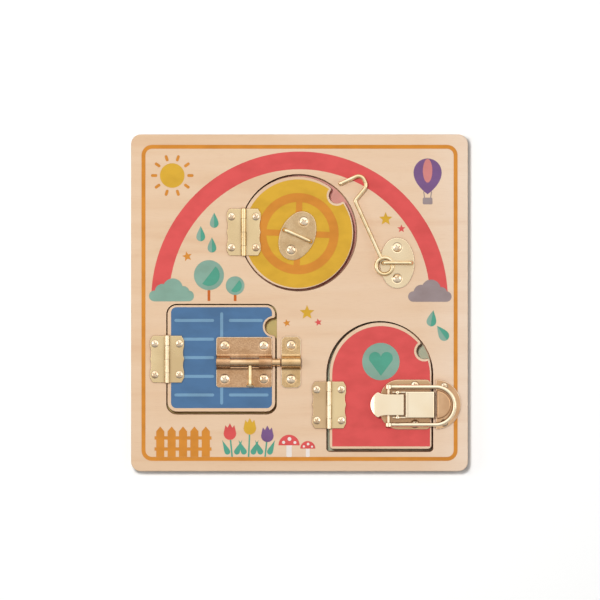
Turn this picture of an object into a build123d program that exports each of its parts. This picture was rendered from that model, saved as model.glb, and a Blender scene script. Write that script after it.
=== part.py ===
# Latch board: a square wooden board with three little doors, each on a brass hinge
# and each with another fastening: a hook and eye, a barrel bolt and a toggle latch.
# The board lies flat. X runs to the right, Y towards the upper edge, Z up to the viewer.
# The origin is the middle of the board's underside. All sizes are in millimetres.
from build123d import *
import math
import os

# Wood: a thin back glued behind a thick front with three openings
back_thickness = 3.0
front_thickness = 9.0
board_corner_radius = 6.5
board_edge_round = 0.8
board_rim = 4.85
door_edge_round = 0.5
door_back_gap = 0.3

# Clearances and the one overrun that every cut runs past its faces
fit_clearance = 0.05
cut_overrun = 1.0

# Round hatch: the opening, the gaps around its door and the finger notch
round_hole_x = -0.7
round_hole_y = 46.8
round_hole_radius = 39.2
round_gap_left = 0.6
round_gap_right = 2.6
round_hinge_inset = 2.6
round_hinge_lift = 0.4
round_notch_angle = 43.0
round_notch_radius = 5.3

# Square shutter
shutter_hole_x = -52.05
shutter_hole_y = -37.6
shutter_hole_side = 73.9
shutter_corner_radius = 7.0
shutter_gap_left = 0.8
shutter_gap_right = 1.1
shutter_gap_top = 0.8
shutter_gap_bottom = 1.9
shutter_hinge_inset = 0.6
shutter_notch_drop = 14.5
shutter_notch_radius = 5.8

# Arched door
arch_hole_x = 53.55
arch_hole_spring_y = -47.8
arch_hole_width = 71.4
arch_hole_leg = 51.75
arch_corner_radius = 2.5
arch_gap_left = 2.2
arch_gap_right = 1.1
arch_gap_top = 1.0
arch_gap_bottom = 2.0
arch_hinge_inset = 1.85
arch_hinge_rise = 31.35
arch_notch_angle = 27.0
arch_notch_radius = 5.3

# Finger notches: how far their centres lie inside the door's edge, and their lips
notch_inset = 1.2
notch_lip_radius = 1.6

# Hinges: stamped leaves rolled round a pin
leaf_width = 11.3
leaf_height = 31.3
leaf_thickness = 0.8
leaf_edge_round = 0.3
leaf_corner_cut = 1.7
leaf_corner_drop = 3.2
scallop_depth = 0.7
scallop_length = 8.0
scallop_offset_share = 0.27
barrel_radius = 1.6
barrel_lift = 0.1
barrel_relief = 0.3
knuckle_gap = 0.2
knuckle_shares = (0.21, 0.29, 0.29, 0.21)
hinge_pin_radius = 0.8
hinge_pin_stick = 0.35
leaf_screw_across_share = 0.72
leaf_screw_along_share = 0.66

# Screws: raised heads with a cross recess, sunk in their plates
screw_head_radius = 2.5
screw_head_rise = 0.9
screw_shank_radius = 1.2
screw_depth = 6.5
leaf_ring_gap = 0.15
plate_ring_gap = 0.75
latch_ring_gap = 0.4
screw_point = 1.6
recess_length_share = 0.66
recess_width_share = 0.16
recess_depth = 0.7
recess_turns = (20.0, 65.0, 8.0, 47.0)

# Stamped brass plates and the edge that catches the light on them
plate_thickness = 0.8
plate_edge_round = 0.45

# Hook and eye: two oval plates, each with a wire staple, and a wire hook
oval_length = 33.8
oval_width = 23.2
oval_end_radius = 9.2
oval_screw_share = 0.305
oval_head_radius = 2.9
wire_radius = 1.3
staple_length = 21.6
staple_room = 4.3
staple_bend = 2.6
staple_depth = 5.0
eye_x = -1.4
eye_y = 44.8
eye_angle = -24.0
hook_plate_x = 65.2
hook_plate_y = 26.6
hook_ring_radius = 5.5
hook_ring_slack = 2.2
hook_mouth = 14.4
hook_slant = 5.6
hook_arch_rise = 11.3
hook_arch_bend = 4.2
hook_kink_bend = 1.9
hook_tip_length = 4.1
hook_tip_radius = 1.5
hook_screw_gap = 0.4
hook_open_turn = 48.0

# Barrel bolt: a plate with a raised bridge, the rod, its knob and the keeper
bolt_plate_width = 37.3
bolt_plate_height = 33.6
bolt_plate_inset = 2.1
bolt_drop = 2.06
bolt_corner_radius = 1.8
bolt_screw_x_share = 0.35
bolt_screw_y_share = 0.33
bolt_head_radius = 2.85
rod_radius = 2.5
rod_lift = 0.9
rod_end_round = 0.5
rod_tail_inset = 1.6
bridge_clearance = 0.35
bridge_foot_bend = 2.0
window_sill = 1.8
window_left = 9.2
window_right = 8.6
bolt_travel = 4.6
bolt_mouth_gap = 0.5
knob_window_gap = 0.2
knob_running_gap = 0.1
knob_stem_radius = 1.28
knob_flare_radius = 2.75
knob_length = 16.3
knob_flare_start = 11.6
knob_rim = 1.0
knob_tilt = 2.5
keeper_width = 12.9
keeper_height = 34.3
keeper_gap = 3.0
keeper_corner_cut = 2.0
keeper_screw_y_share = 0.33

# Toggle latch: base with a raised housing, lever, wire bail and the catch
latch_y_drop = 20.1
latch_base_inset = 1.0
latch_base_length = 33.4
latch_base_half = 16.6
latch_base_bend = 12.4
latch_base_corner = 2.5
latch_screw_back = 10.1
latch_screw_out = 12.8
housing_overhang = 2.6
housing_length = 19.2
housing_half = 8.8
housing_rise = 5.5
housing_edge_round = 0.6
housing_groove_start = 1.0
housing_groove_width = 0.9
housing_groove_depth = 0.3
ear_length = 8.6
ear_boss_radius = 2.1
pivot_rise = 5.5
pivot_back = 5.3
latch_pin_radius = 0.95
latch_pin_stick = 0.5
lever_short_end = 4.05
lever_length = 22.1
lever_half = 6.95
lever_spoon_half = 8.6
lever_spoon_depth = 5.1
lever_spoon_round = 1.4
lever_edge_round = 0.35
lever_neck = 12.5
lever_sheet = 0.8
lever_top_rise = 1.3
lever_dip = 2.6
lever_dip_length = 8.5
lever_flange_back = 8.6
lever_flange_drop = 2.0
bail_pin_back = 6.0
bail_pin_drop = 1.3
bail_pin_radius = 1.0
bail_pin_stick = 0.4
bail_wire_radius = 1.4
bail_half = 12.6
bail_shift = -0.7
bail_reach = 44.1
bail_eye_radius = 2.4
bail_eye_half = 1.1
catch_radius = 16.6
catch_gap = 1.8
catch_lip_centre = 0.5
catch_lip_radius = 9.6
catch_lip_rise = 4.6
catch_lip_undercut = 0.6
catch_lip_wall = 0.8
catch_lip_round = 1.0
catch_screw_in = 5.6
catch_screw_out = 12.2
catch_head_radius = 2.2

# Heights and places that follow from those sizes
face_z = back_thickness + front_thickness
door_thickness = front_thickness - door_back_gap
barrel_rise = barrel_lift + barrel_radius
screw_reach = plate_thickness + screw_depth

round_door_radius = round_hole_radius - (round_gap_left + round_gap_right) / 2
round_door_x = round_hole_x + (round_gap_left - round_gap_right) / 2
round_hinge_x = round_hole_x - round_hole_radius + round_hinge_inset
round_hinge_y = round_hole_y + round_hinge_lift

shutter_hole_left = shutter_hole_x - shutter_hole_side / 2
shutter_hole_right = shutter_hole_x + shutter_hole_side / 2
shutter_door_width = shutter_hole_side - shutter_gap_left - shutter_gap_right
shutter_door_height = shutter_hole_side - shutter_gap_top - shutter_gap_bottom
shutter_door_x = shutter_hole_x + (shutter_gap_left - shutter_gap_right) / 2
shutter_door_y = shutter_hole_y + (shutter_gap_bottom - shutter_gap_top) / 2
shutter_door_right = shutter_door_x + shutter_door_width / 2
shutter_hinge_x = shutter_hole_left + shutter_hinge_inset

arch_hole_left = arch_hole_x - arch_hole_width / 2
arch_hole_right = arch_hole_x + arch_hole_width / 2
arch_hole_bottom = arch_hole_spring_y - arch_hole_leg
arch_door_width = arch_hole_width - arch_gap_left - arch_gap_right
arch_door_x = arch_hole_x + (arch_gap_left - arch_gap_right) / 2
arch_door_spring_y = arch_hole_spring_y + (arch_hole_width - arch_door_width) / 2 - arch_gap_top
arch_door_leg = arch_door_spring_y - arch_hole_bottom - arch_gap_bottom
arch_door_right = arch_door_x + arch_door_width / 2
arch_hinge_x = arch_hole_left + arch_hinge_inset
arch_hinge_y = arch_hole_bottom + arch_hinge_rise

catch_x = arch_hole_right + catch_gap
board_side = 2 * (catch_x + catch_radius + board_rim)

hook_leg_x = hook_plate_x - staple_length / 2 + wire_radius
hook_z = face_z + plate_thickness + screw_head_rise + hook_screw_gap + wire_radius
eye_distance = math.hypot(eye_x - hook_leg_x, eye_y - hook_plate_y)
hook_latched_angle = math.degrees(math.atan2(eye_y - hook_plate_y, eye_x - hook_leg_x))

bolt_y = shutter_hole_y - bolt_drop
bolt_plate_right = shutter_door_right - bolt_plate_inset
bolt_plate_left = bolt_plate_right - bolt_plate_width
window_start = bolt_plate_left + window_left
window_end = bolt_plate_right - window_right
knob_x = window_end - knob_window_gap - knob_stem_radius - bolt_travel
rod_z = face_z + rod_lift + rod_radius
keeper_left = shutter_hole_right + keeper_gap
rod_tip_x = keeper_left - bolt_mouth_gap
rod_tail_x = bolt_plate_left + rod_tail_inset

latch_y = arch_hole_spring_y - latch_y_drop
latch_base_right = arch_door_right - latch_base_inset
housing_right = latch_base_right + housing_overhang
housing_left = housing_right - housing_length
pivot_x = housing_left - pivot_back
pivot_z = face_z + pivot_rise
bail_pin_x = pivot_x - bail_pin_back
bail_pin_z = pivot_z - bail_pin_drop
lever_right = pivot_x + lever_short_end
lever_left = lever_right - lever_length
latch_half_span = bail_half + bail_eye_half + bail_pin_stick


def block(x0, x1, y0, y1, z0, z1):
    """A square-edged block between two corners"""
    size = Box(x1 - x0, y1 - y0, z1 - z0)
    return Pos((x0 + x1) / 2, (y0 + y1) / 2, (z0 + z1) / 2) * size


def rod_along_x(x0, x1, radius):
    """A round rod on the X axis"""
    return Pos((x0 + x1) / 2, 0, 0) * Rot(0, 90, 0) * Cylinder(radius, x1 - x0)


def rod_along_y(y0, y1, radius):
    """A round rod on the Y axis"""
    return Pos(0, (y0 + y1) / 2, 0) * Rot(90, 0, 0) * Cylinder(radius, y1 - y0)


def softened(solid, radius):
    """Round the edges of the solid's highest flat face"""
    top = solid.faces().filter_by(Axis.Z).sort_by(Axis.Z)[-1]
    return fillet(top.outer_wire().edges(), radius)


def rim(faces):
    """The edges around a group of faces, without those between two of them"""
    edges = [edge for face in faces for edge in face.edges()]
    return [edge for edge in edges if edges.count(edge) == 1]


def slab(outline, z, thickness, edge_round):
    """A flat piece cut to an outline, its upper edge rounded"""
    return Pos(0, 0, z) * softened(extrude(outline, thickness), edge_round)


def screw(head_radius):
    """Wood screw with its origin in the middle of the head, level with the plate"""
    curve_radius = (head_radius ** 2 + screw_head_rise ** 2) / (2 * screw_head_rise)
    shoulder = head_radius / 2
    shoulder_rise = screw_head_rise - curve_radius + math.sqrt(curve_radius ** 2 - shoulder ** 2)
    dome = ThreePointArc((0, screw_head_rise), (shoulder, shoulder_rise), (head_radius, 0))
    below = Polyline(
        (head_radius, 0),
        (screw_shank_radius, -plate_thickness),
        (screw_shank_radius, screw_point - screw_reach),
        (0, -screw_reach),
        (0, screw_head_rise),
    )
    body = revolve(Plane.XZ * make_face(dome + below), Axis.Z)
    wing = 2 * head_radius * recess_length_share
    width = 2 * head_radius * recess_width_share
    for turn in (0, 90):
        body -= Pos(0, 0, screw_head_rise) * Rot(0, 0, turn) * Box(wing, width, 2 * recess_depth)
    return body


def screws(places, z, head_radius):
    """Screws at the given places, each turned as it was left by the driver"""
    made = []
    for number, (x, y) in enumerate(places):
        turn = recess_turns[number % len(recess_turns)]
        made.append(Pos(x, y, z) * Rot(0, 0, turn) * screw(head_radius))
    return Compound(children=[solid for piece in made for solid in piece.solids()])


def screw_seats(places, z, head_radius, ring_gap):
    """Cone-shaped seats through a plate whose top is at z, a ring wider than the heads"""
    rim = head_radius + ring_gap
    neck = screw_shank_radius + fit_clearance
    seat = Pos(0, 0, -plate_thickness / 2) * Cone(neck, rim, plate_thickness)
    seat += Pos(0, 0, -plate_thickness) * Cylinder(neck, 2 * cut_overrun)
    seat += Pos(0, 0, cut_overrun / 2) * Cylinder(rim, cut_overrun)
    return [Pos(x, y, z) * seat for x, y in places]


def pilot_holes(places):
    """Holes in the wood for the screws at these places"""
    depth = screw_depth + fit_clearance
    hole = Cylinder(screw_shank_radius + fit_clearance, depth + cut_overrun)
    return [Pos(x, y, face_z - depth / 2 + cut_overrun / 2) * hole for x, y in places]


def leaf_screw_places(x, y, side):
    """The two screws of a hinge leaf, side +1 for the door and -1 for the board"""
    across = side * leaf_width * leaf_screw_across_share
    along = leaf_height / 2 * leaf_screw_along_share
    return [(x + across, y + along), (x + across, y - along)]


def leaf_outline():
    """Half a hinge from above, with cut corners and two scallops in its outer edge"""
    half = leaf_height / 2
    inner = leaf_width - leaf_corner_cut
    shoulder = half - leaf_corner_drop
    corners = [(0, -half), (inner, -half), (leaf_width, -shoulder)]
    corners += [(leaf_width, shoulder), (inner, half), (0, half)]
    outline = make_face(Polyline(*corners, close=True))
    bow = ((scallop_length / 2) ** 2 + scallop_depth ** 2) / (2 * scallop_depth)
    for side in (-1, 1):
        y = side * leaf_height * scallop_offset_share / 2
        outline -= Pos(leaf_width - scallop_depth + bow, y) * Circle(bow)
    return outline


def hinge_leaf(x, y, side):
    """A leaf with its rolled knuckles; the board's leaf has the first and the third"""
    leaf = softened(extrude(leaf_outline(), leaf_thickness), leaf_edge_round)
    own = 0 if side < 0 else 1
    y_top = leaf_height / 2
    relief = barrel_radius + barrel_relief
    for number, share in enumerate(knuckle_shares):
        y_bottom = y_top - share * leaf_height
        high = y_top - (knuckle_gap / 2 if number > 0 else 0)
        low = y_bottom + (knuckle_gap / 2 if number < len(knuckle_shares) - 1 else 0)
        if number % 2 == own:
            leaf += Pos(0, 0, barrel_rise) * rod_along_y(low, high, barrel_radius)
        else:
            y0 = y_bottom - (knuckle_gap / 2 if number < len(knuckle_shares) - 1 else cut_overrun)
            y1 = y_top + (knuckle_gap / 2 if number > 0 else cut_overrun)
            leaf -= block(-cut_overrun, relief, y0, y1, -cut_overrun, leaf_thickness + cut_overrun)
        y_top = y_bottom
    bore = leaf_height / 2 + cut_overrun
    leaf -= Pos(0, 0, barrel_rise) * rod_along_y(-bore, bore, hinge_pin_radius + fit_clearance)
    if side < 0:
        leaf = mirror(leaf, about=Plane.YZ)
    leaf = Pos(x, y, face_z) * leaf
    places = leaf_screw_places(x, y, side)
    return leaf - screw_seats(places, face_z + leaf_thickness, screw_head_radius, leaf_ring_gap)


def hinge_pin(x, y):
    """The pin, standing a little out of both ends of the barrel, its ends rounded"""
    half = leaf_height / 2 + hinge_pin_stick
    pin = rod_along_y(-half, half, hinge_pin_radius)
    pin = fillet(pin.edges().filter_by(GeomType.CIRCLE), hinge_pin_stick)
    return Pos(x, y, face_z + barrel_rise) * pin


def notched(outline, x, y, radius):
    """Cut a finger notch into a door's edge and round its two lips"""
    cut = outline - Pos(x, y) * Circle(radius)
    lips = cut.vertices().sort_by_distance((x, y, 0))[:2]
    return fillet(lips, notch_lip_radius)


def arch(x, spring_y, width, leg, corner):
    """A doorway's outline: straight legs and a half-round top"""
    outline = Pos(x, spring_y - leg / 2) * Rectangle(width, leg)
    feet = outline.vertices().group_by(Axis.Y)[0]
    outline = fillet(feet, corner)
    return outline + Pos(x, spring_y) * Circle(width / 2)


def round_hole_outline():
    return Pos(round_hole_x, round_hole_y) * Circle(round_hole_radius)


def shutter_hole_outline():
    square = RectangleRounded(shutter_hole_side, shutter_hole_side, shutter_corner_radius)
    return Pos(shutter_hole_x, shutter_hole_y) * square


def arch_hole_outline():
    return arch(arch_hole_x, arch_hole_spring_y, arch_hole_width, arch_hole_leg, arch_corner_radius)


def round_door_outline():
    reach = round_door_radius - notch_inset
    angle = math.radians(round_notch_angle)
    x = round_door_x + reach * math.cos(angle)
    y = round_hole_y + reach * math.sin(angle)
    disc = Pos(round_door_x, round_hole_y) * Circle(round_door_radius)
    return notched(disc, x, y, round_notch_radius)


def shutter_door_outline():
    radius = shutter_corner_radius - shutter_gap_top
    square = RectangleRounded(shutter_door_width, shutter_door_height, radius)
    top = shutter_door_y + shutter_door_height / 2
    square = Pos(shutter_door_x, shutter_door_y) * square
    return notched(square, shutter_door_right - notch_inset, top - shutter_notch_drop, shutter_notch_radius)


def arch_door_outline():
    reach = arch_door_width / 2 - notch_inset
    angle = math.radians(arch_notch_angle)
    x = arch_door_x + reach * math.cos(angle)
    y = arch_door_spring_y + reach * math.sin(angle)
    panel = arch(arch_door_x, arch_door_spring_y, arch_door_width, arch_door_leg, arch_corner_radius)
    return notched(panel, x, y, arch_notch_radius)


def oval_outline():
    """An oval of two end arcs and two long side arcs that meet smoothly"""
    half = oval_length / 2
    wide = oval_width / 2
    end = oval_end_radius
    side = ((half - end) ** 2 + wide ** 2 - end ** 2) / (2 * (wide - end))
    run = math.hypot(side - wide, half - end)
    meet_x = end * (side - wide) / run
    meet_y = half - end + end * (half - end) / run
    right = ThreePointArc((meet_x, -meet_y), (wide, 0), (meet_x, meet_y))
    upper = ThreePointArc((meet_x, meet_y), (0, half), (-meet_x, meet_y))
    left = ThreePointArc((-meet_x, meet_y), (-wide, 0), (-meet_x, -meet_y))
    lower = ThreePointArc((-meet_x, -meet_y), (0, -half), (meet_x, -meet_y))
    return make_face(right + upper + left + lower)


def staple_legs():
    """How far each leg of a staple stands from its middle"""
    return staple_length / 2 - wire_radius


def oval_plate(x, y, turn):
    """Oval plate with two screw seats on its long axis and two holes for the staple"""
    plate = softened(extrude(oval_outline(), plate_thickness), plate_edge_round)
    for side in (-1, 1):
        leg = Cylinder(wire_radius + fit_clearance, 2 * plate_thickness + cut_overrun)
        plate -= Pos(side * staple_legs(), 0, 0) * leg
    plate = Pos(x, y, face_z) * Rot(0, 0, turn) * plate
    places = oval_screw_places(x, y, turn)
    return plate - screw_seats(places, face_z + plate_thickness, oval_head_radius, plate_ring_gap)


def oval_screw_places(x, y, turn):
    reach = oval_length * oval_screw_share
    angle = math.radians(turn)
    across = -reach * math.sin(angle)
    along = reach * math.cos(angle)
    return [(x + across, y + along), (x - across, y - along)]


def staple(x, y, turn):
    """Wire loop: a straight bar on two legs that go down into the wood"""
    reach = staple_legs()
    low = -staple_depth
    high = plate_thickness + staple_room + wire_radius
    bends = (staple_bend, staple_bend)
    corners = [(-reach, 0, low), (-reach, 0, high), (reach, 0, high), (reach, 0, low)]
    path = FilletPolyline(*corners, radius=bends)
    loop = sweep(Plane(path @ 0, z_dir=path % 0) * Circle(wire_radius), path=path)
    return Pos(x, y, face_z) * Rot(0, 0, turn) * loop


def staple_holes(x, y, turn):
    """The holes in the wood for a staple's two legs"""
    depth = staple_depth + fit_clearance
    hole = Cylinder(wire_radius + fit_clearance, depth + cut_overrun)
    place = Pos(x, y, face_z) * Rot(0, 0, turn)
    z = (cut_overrun - depth) / 2
    return [place * Pos(side * staple_legs(), 0, z) * hole for side in (-1, 1)]


def hook_piece():
    """Wire hook, drawn about the staple leg that it turns on, its rod along X"""
    ring_x = -hook_ring_slack
    kink_x = eye_distance - hook_mouth
    start = (ring_x + hook_ring_radius, 0, 0)
    kink = (kink_x, 0, 0)
    shoulder = (kink_x + hook_slant, -hook_arch_rise, 0)
    crown = (eye_distance, -hook_arch_rise, 0)
    tip = (eye_distance, hook_tip_length, 0)
    bends = (hook_kink_bend, hook_arch_bend, hook_arch_bend)
    path = FilletPolyline(start, kink, shoulder, crown, tip, radius=bends)
    wire = sweep(Plane(path @ 0, z_dir=path % 0) * Circle(wire_radius), path=path)
    wire += Pos(ring_x, 0, 0) * Torus(hook_ring_radius, wire_radius)
    wire += Pos(*tip) * Sphere(hook_tip_radius)
    turn = hook_latched_angle - hook_open_turn
    return Pos(hook_leg_x, hook_plate_y, hook_z) * Rot(0, 0, turn) * wire


def bridge_profile(width):
    """Sheet with a round-topped tunnel, seen along the bolt; its underside is at zero"""
    inner = rod_radius + bridge_clearance
    outer = inner + plate_thickness
    axis = rod_lift + rod_radius
    foot = outer + bridge_foot_bend
    turn = foot - inner
    upper = Pos(0, plate_thickness / 2) * Rectangle(width, plate_thickness)
    upper += Pos(0, axis / 2) * Rectangle(2 * outer, axis) + Pos(0, axis) * Circle(outer)
    lower = Pos(0, axis / 2) * Rectangle(2 * inner, axis) + Pos(0, axis) * Circle(inner)
    for side in (-1, 1):
        round_top = Pos(side * foot, plate_thickness + bridge_foot_bend) * Circle(bridge_foot_bend)
        corner = Pos(side * (foot + outer) / 2, plate_thickness + bridge_foot_bend / 2)
        upper += corner * Rectangle(bridge_foot_bend, bridge_foot_bend) - round_top
        round_under = Pos(side * foot, turn) * Circle(turn)
        corner = Pos(side * (foot + inner) / 2, turn / 2)
        lower += corner * Rectangle(turn, turn) - round_under
    return upper - lower


def bridged_plate(x0, x1, outline):
    """A plate with its bridge along X, cut to the outline, its upper edges rounded"""
    profile = bridge_profile(max(bolt_plate_height, keeper_height) + cut_overrun)
    sheet = extrude(Plane.YZ * profile, x1 - x0)
    trim = extrude(outline, rod_lift + 2 * rod_radius + bridge_clearance + 2 * plate_thickness)
    plate = Pos((x0 - x1) / 2, 0, 0) * sheet & trim
    outer = rod_radius + bridge_clearance + plate_thickness
    upper = [face for face in plate.faces() if face.normal_at().Z > 1 / 2]
    for face in plate.faces().filter_by(Axis.Y):
        y = face.center().Y
        if abs(y) < outer + fit_clearance and face.normal_at().Y * y > 0:
            upper.append(face)
    plate = fillet(rim(upper), plate_edge_round)
    return Pos((x0 + x1) / 2, bolt_y, face_z) * plate


def bolt_screw_places():
    x = (bolt_plate_left + bolt_plate_right) / 2
    across = bolt_plate_width * bolt_screw_x_share
    along = bolt_plate_height * bolt_screw_y_share
    return [(x + i * across, bolt_y + j * along) for i in (-1, 1) for j in (1, -1)]


def keeper_screw_places():
    x = keeper_left + keeper_width / 2
    along = keeper_height * keeper_screw_y_share
    return [(x, bolt_y + along), (x, bolt_y - along)]


def bolt_plate():
    """Plate of the barrel bolt, its bridge opened down to a sill for the knob to move in"""
    outline = RectangleRounded(bolt_plate_width, bolt_plate_height, bolt_corner_radius)
    plate = bridged_plate(bolt_plate_left, bolt_plate_right, outline)
    edge = rod_radius + bridge_clearance + plate_thickness + bridge_foot_bend
    low = face_z + window_sill
    high = rod_z + rod_radius + bridge_clearance + plate_thickness + cut_overrun
    plate -= block(window_start, window_end, bolt_y - edge, bolt_y + edge, low, high)
    top = face_z + plate_thickness
    return plate - screw_seats(bolt_screw_places(), top, bolt_head_radius, plate_ring_gap)


def bolt_keeper():
    """Keeper on the board, with a bridge of the same shape for the bolt to slide into"""
    outline = Rectangle(keeper_width, keeper_height)
    outline = chamfer(outline.vertices(), keeper_corner_cut)
    keeper = bridged_plate(keeper_left, keeper_left + keeper_width, outline)
    top = face_z + plate_thickness
    return keeper - screw_seats(keeper_screw_places(), top, bolt_head_radius, plate_ring_gap)


def bolt_rod():
    """The round bolt, its two ends eased"""
    rod = rod_along_x(rod_tail_x, rod_tip_x, rod_radius)
    rod = fillet(rod.edges().filter_by(GeomType.CIRCLE), rod_end_round)
    return Pos(0, bolt_y, rod_z) * rod


def bolt_knob():
    """Knob: a stem on the bolt's side that flares at its end, lying almost level"""
    start = rod_radius + knob_running_gap
    flare_end = knob_length - knob_rim
    flare = Spline(
        (knob_stem_radius, knob_flare_start),
        (knob_flare_radius, flare_end),
        tangents=[(0, 1), (1, 1)],
    )
    rim = ThreePointArc(
        (knob_flare_radius, flare_end),
        (knob_flare_radius - knob_rim / 3, knob_length - knob_rim / 3),
        (knob_flare_radius - knob_rim, knob_length),
    )
    stem = Polyline(
        (knob_flare_radius - knob_rim, knob_length),
        (0, knob_length),
        (0, 0),
        (knob_stem_radius, 0),
        (knob_stem_radius, knob_flare_start),
    )
    knob = revolve(Plane.XZ * make_face(flare + rim + stem), Axis.Z)
    knob = Rot(90 - knob_tilt, 0, 0) * knob
    knob -= rod_along_x(-2 * start, 2 * start, start)
    return Pos(knob_x, bolt_y, rod_z) * knob


def latch_base_outline():
    """Shield shape: square corners at the door's edge, round shoulders towards the hinge"""
    bend = latch_base_bend
    left = latch_base_right - latch_base_length
    shoulder_x = left + bend
    shoulder_y = latch_base_half - bend
    middle = bend * math.sqrt(1 / 2)
    high = latch_base_half
    arc_x = shoulder_x - middle
    upper = ThreePointArc((shoulder_x, high), (arc_x, shoulder_y + middle), (left, shoulder_y))
    lower = ThreePointArc((left, -shoulder_y), (arc_x, -shoulder_y - middle), (shoulder_x, -high))
    edge = Line((left, shoulder_y), (left, -shoulder_y))
    corners = [(shoulder_x, -high), (latch_base_right, -high)]
    corners += [(latch_base_right, high), (shoulder_x, high)]
    front = Polyline(*corners)
    outline = make_face(upper + edge + lower + front)
    corners = outline.vertices().group_by(Axis.X)[-1]
    return fillet(corners, latch_base_corner)


def latch_screw_places():
    x = latch_base_right - latch_screw_back
    return [(x, latch_y + latch_screw_out), (x, latch_y - latch_screw_out)]


def housing():
    """Raised channel of the base: a flat top on two walls, with an ear of each at the pivot"""
    inner = housing_half - plate_thickness
    low = face_z + plate_thickness / 2
    top = face_z + housing_rise
    body = block(housing_left, housing_right, -housing_half, housing_half, low, top)
    body = softened(body, housing_edge_round)
    under = top - plate_thickness
    start = housing_left - cut_overrun
    end = housing_right + cut_overrun
    bottom = low - cut_overrun
    body -= block(start, end, -inner, inner, bottom, under)
    lip = face_z + plate_thickness
    body -= block(latch_base_right, end, -housing_half, housing_half, bottom, lip)
    groove = housing_left + housing_groove_start
    groove_end = groove + housing_groove_width
    body -= block(groove, groove_end, -inner, inner, top - housing_groove_depth, top + cut_overrun)
    for side in (-1, 1):
        near, far = sorted((side * inner, side * housing_half))
        ear = block(housing_left - ear_length, housing_left, near, far, low, top)
        boss = rod_along_y(near, far, ear_boss_radius)
        ear += Pos(pivot_x, 0, pivot_z) * boss
        body += ear
    reach = housing_half + cut_overrun
    return body - Pos(pivot_x, 0, pivot_z) * rod_along_y(-reach, reach, latch_pin_radius + fit_clearance)


def latch_base():
    """Base plate of the toggle latch with its housing raised from the same sheet"""
    outline = Pos(0, latch_y) * latch_base_outline()
    base = slab(outline, face_z, plate_thickness, plate_edge_round)
    base += Pos(0, latch_y, 0) * housing()
    top = face_z + plate_thickness
    return base - screw_seats(latch_screw_places(), top, screw_head_radius, latch_ring_gap)


def latch_pivot_pin():
    half = housing_half + latch_pin_stick
    pin = rod_along_y(-half, half, latch_pin_radius)
    pin = fillet(pin.edges().filter_by(GeomType.CIRCLE), latch_pin_stick / 2)
    return Pos(pivot_x, latch_y, pivot_z) * pin


def lever_outline():
    """Lever from above: a straight body that widens into a round-ended thumb piece"""
    spoon_x = lever_left + lever_spoon_depth
    neck_x = lever_left + lever_neck
    tip = ThreePointArc((spoon_x, -lever_spoon_half), (lever_left, 0), (spoon_x, lever_spoon_half))
    upper = Spline((spoon_x, lever_spoon_half), (neck_x, lever_half), tangents=[(1, -1), (1, 0)])
    lower = Spline((neck_x, -lever_half), (spoon_x, -lever_spoon_half), tangents=[(-1, 0), (-1, -1)])
    corners = [(neck_x, lever_half), (lever_right, lever_half)]
    corners += [(lever_right, -lever_half), (neck_x, -lever_half)]
    return make_face(tip + upper + Polyline(*corners) + lower)


def latch_lever():
    """Lever bent from sheet, with a flange on each side for the pivot and for the bail"""
    top = pivot_z + lever_top_rise
    under_side = top - lever_sheet
    low = top - lever_dip
    dip_x = lever_left + lever_dip_length
    left = lever_left - cut_overrun
    right = lever_right + cut_overrun
    flat = Polyline((dip_x, top), (right, top), (right, under_side), (dip_x, under_side))
    dip = TangentArc((dip_x, top), (left, low), tangent=(-1, 0))
    under = TangentArc((dip_x, under_side), (left, low - lever_sheet), tangent=(-1, 0))
    end = Line((left, low), (left, low - lever_sheet))
    side = make_face(flat + dip + end + under)
    reach = lever_spoon_half + cut_overrun
    sheet = extrude(Plane.XZ * side, reach, both=True)
    plan = extrude(lever_outline(), top + cut_overrun)
    plan = fillet(plan.edges().filter_by(Axis.Z).group_by(Axis.X)[0], lever_spoon_round)
    lever = sheet & plan
    upper = [face for face in lever.faces() if face.normal_at().Z > 1 / 2]
    lever = fillet(rim(upper), lever_edge_round)
    inner = lever_half - lever_sheet
    under_top = top - lever_sheet / 2
    flange_x = pivot_x - lever_flange_back
    for side in (-1, 1):
        near, far = sorted((side * inner, side * lever_half))
        flange = block(flange_x, lever_right, near, far, pivot_z - lever_flange_drop, under_top)
        lower_edges = flange.edges().filter_by(Axis.Y).group_by(Axis.Z)[0]
        lever += fillet(lower_edges, latch_pin_radius)
    lever -= Pos(pivot_x, 0, pivot_z) * rod_along_y(-reach, reach, latch_pin_radius + fit_clearance)
    lever -= Pos(bail_pin_x, 0, bail_pin_z) * rod_along_y(-reach, reach, bail_pin_radius + fit_clearance)
    return Pos(0, latch_y, 0) * lever


def latch_bail_pin():
    """Pin through the lever that carries the bail's two eyes"""
    pin = rod_along_y(-latch_half_span, latch_half_span, bail_pin_radius)
    pin = fillet(pin.edges().filter_by(GeomType.CIRCLE), bail_pin_stick / 2)
    return Pos(bail_pin_x, latch_y + bail_shift, bail_pin_z) * pin


def latch_bail():
    """Wire bail: two arms and a round end, flattened into an eye at each end"""
    centre_x = bail_reach - bail_half
    arm_start = bail_eye_radius / 2
    out = Line((arm_start, -bail_half, 0), (centre_x, -bail_half, 0))
    bow = ThreePointArc((centre_x, -bail_half, 0), (bail_reach, 0, 0), (centre_x, bail_half, 0))
    back = Line((centre_x, bail_half, 0), (arm_start, bail_half, 0))
    path = Wire([out.edge(), bow.edge(), back.edge()])
    bail = sweep(Plane(path @ 0, z_dir=path % 0) * Circle(bail_wire_radius), path=path)
    for side in (-1, 1):
        middle = side * bail_half
        bail += rod_along_y(middle - bail_eye_half, middle + bail_eye_half, bail_eye_radius)
    reach = bail_half + bail_wire_radius + cut_overrun
    bail -= rod_along_y(-reach, reach, bail_pin_radius + fit_clearance)
    return Pos(bail_pin_x, latch_y + bail_shift, bail_pin_z) * bail


def catch_screw_places():
    x = catch_x + catch_screw_in
    return [(x, latch_y + catch_screw_out), (x, latch_y - catch_screw_out)]


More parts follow.
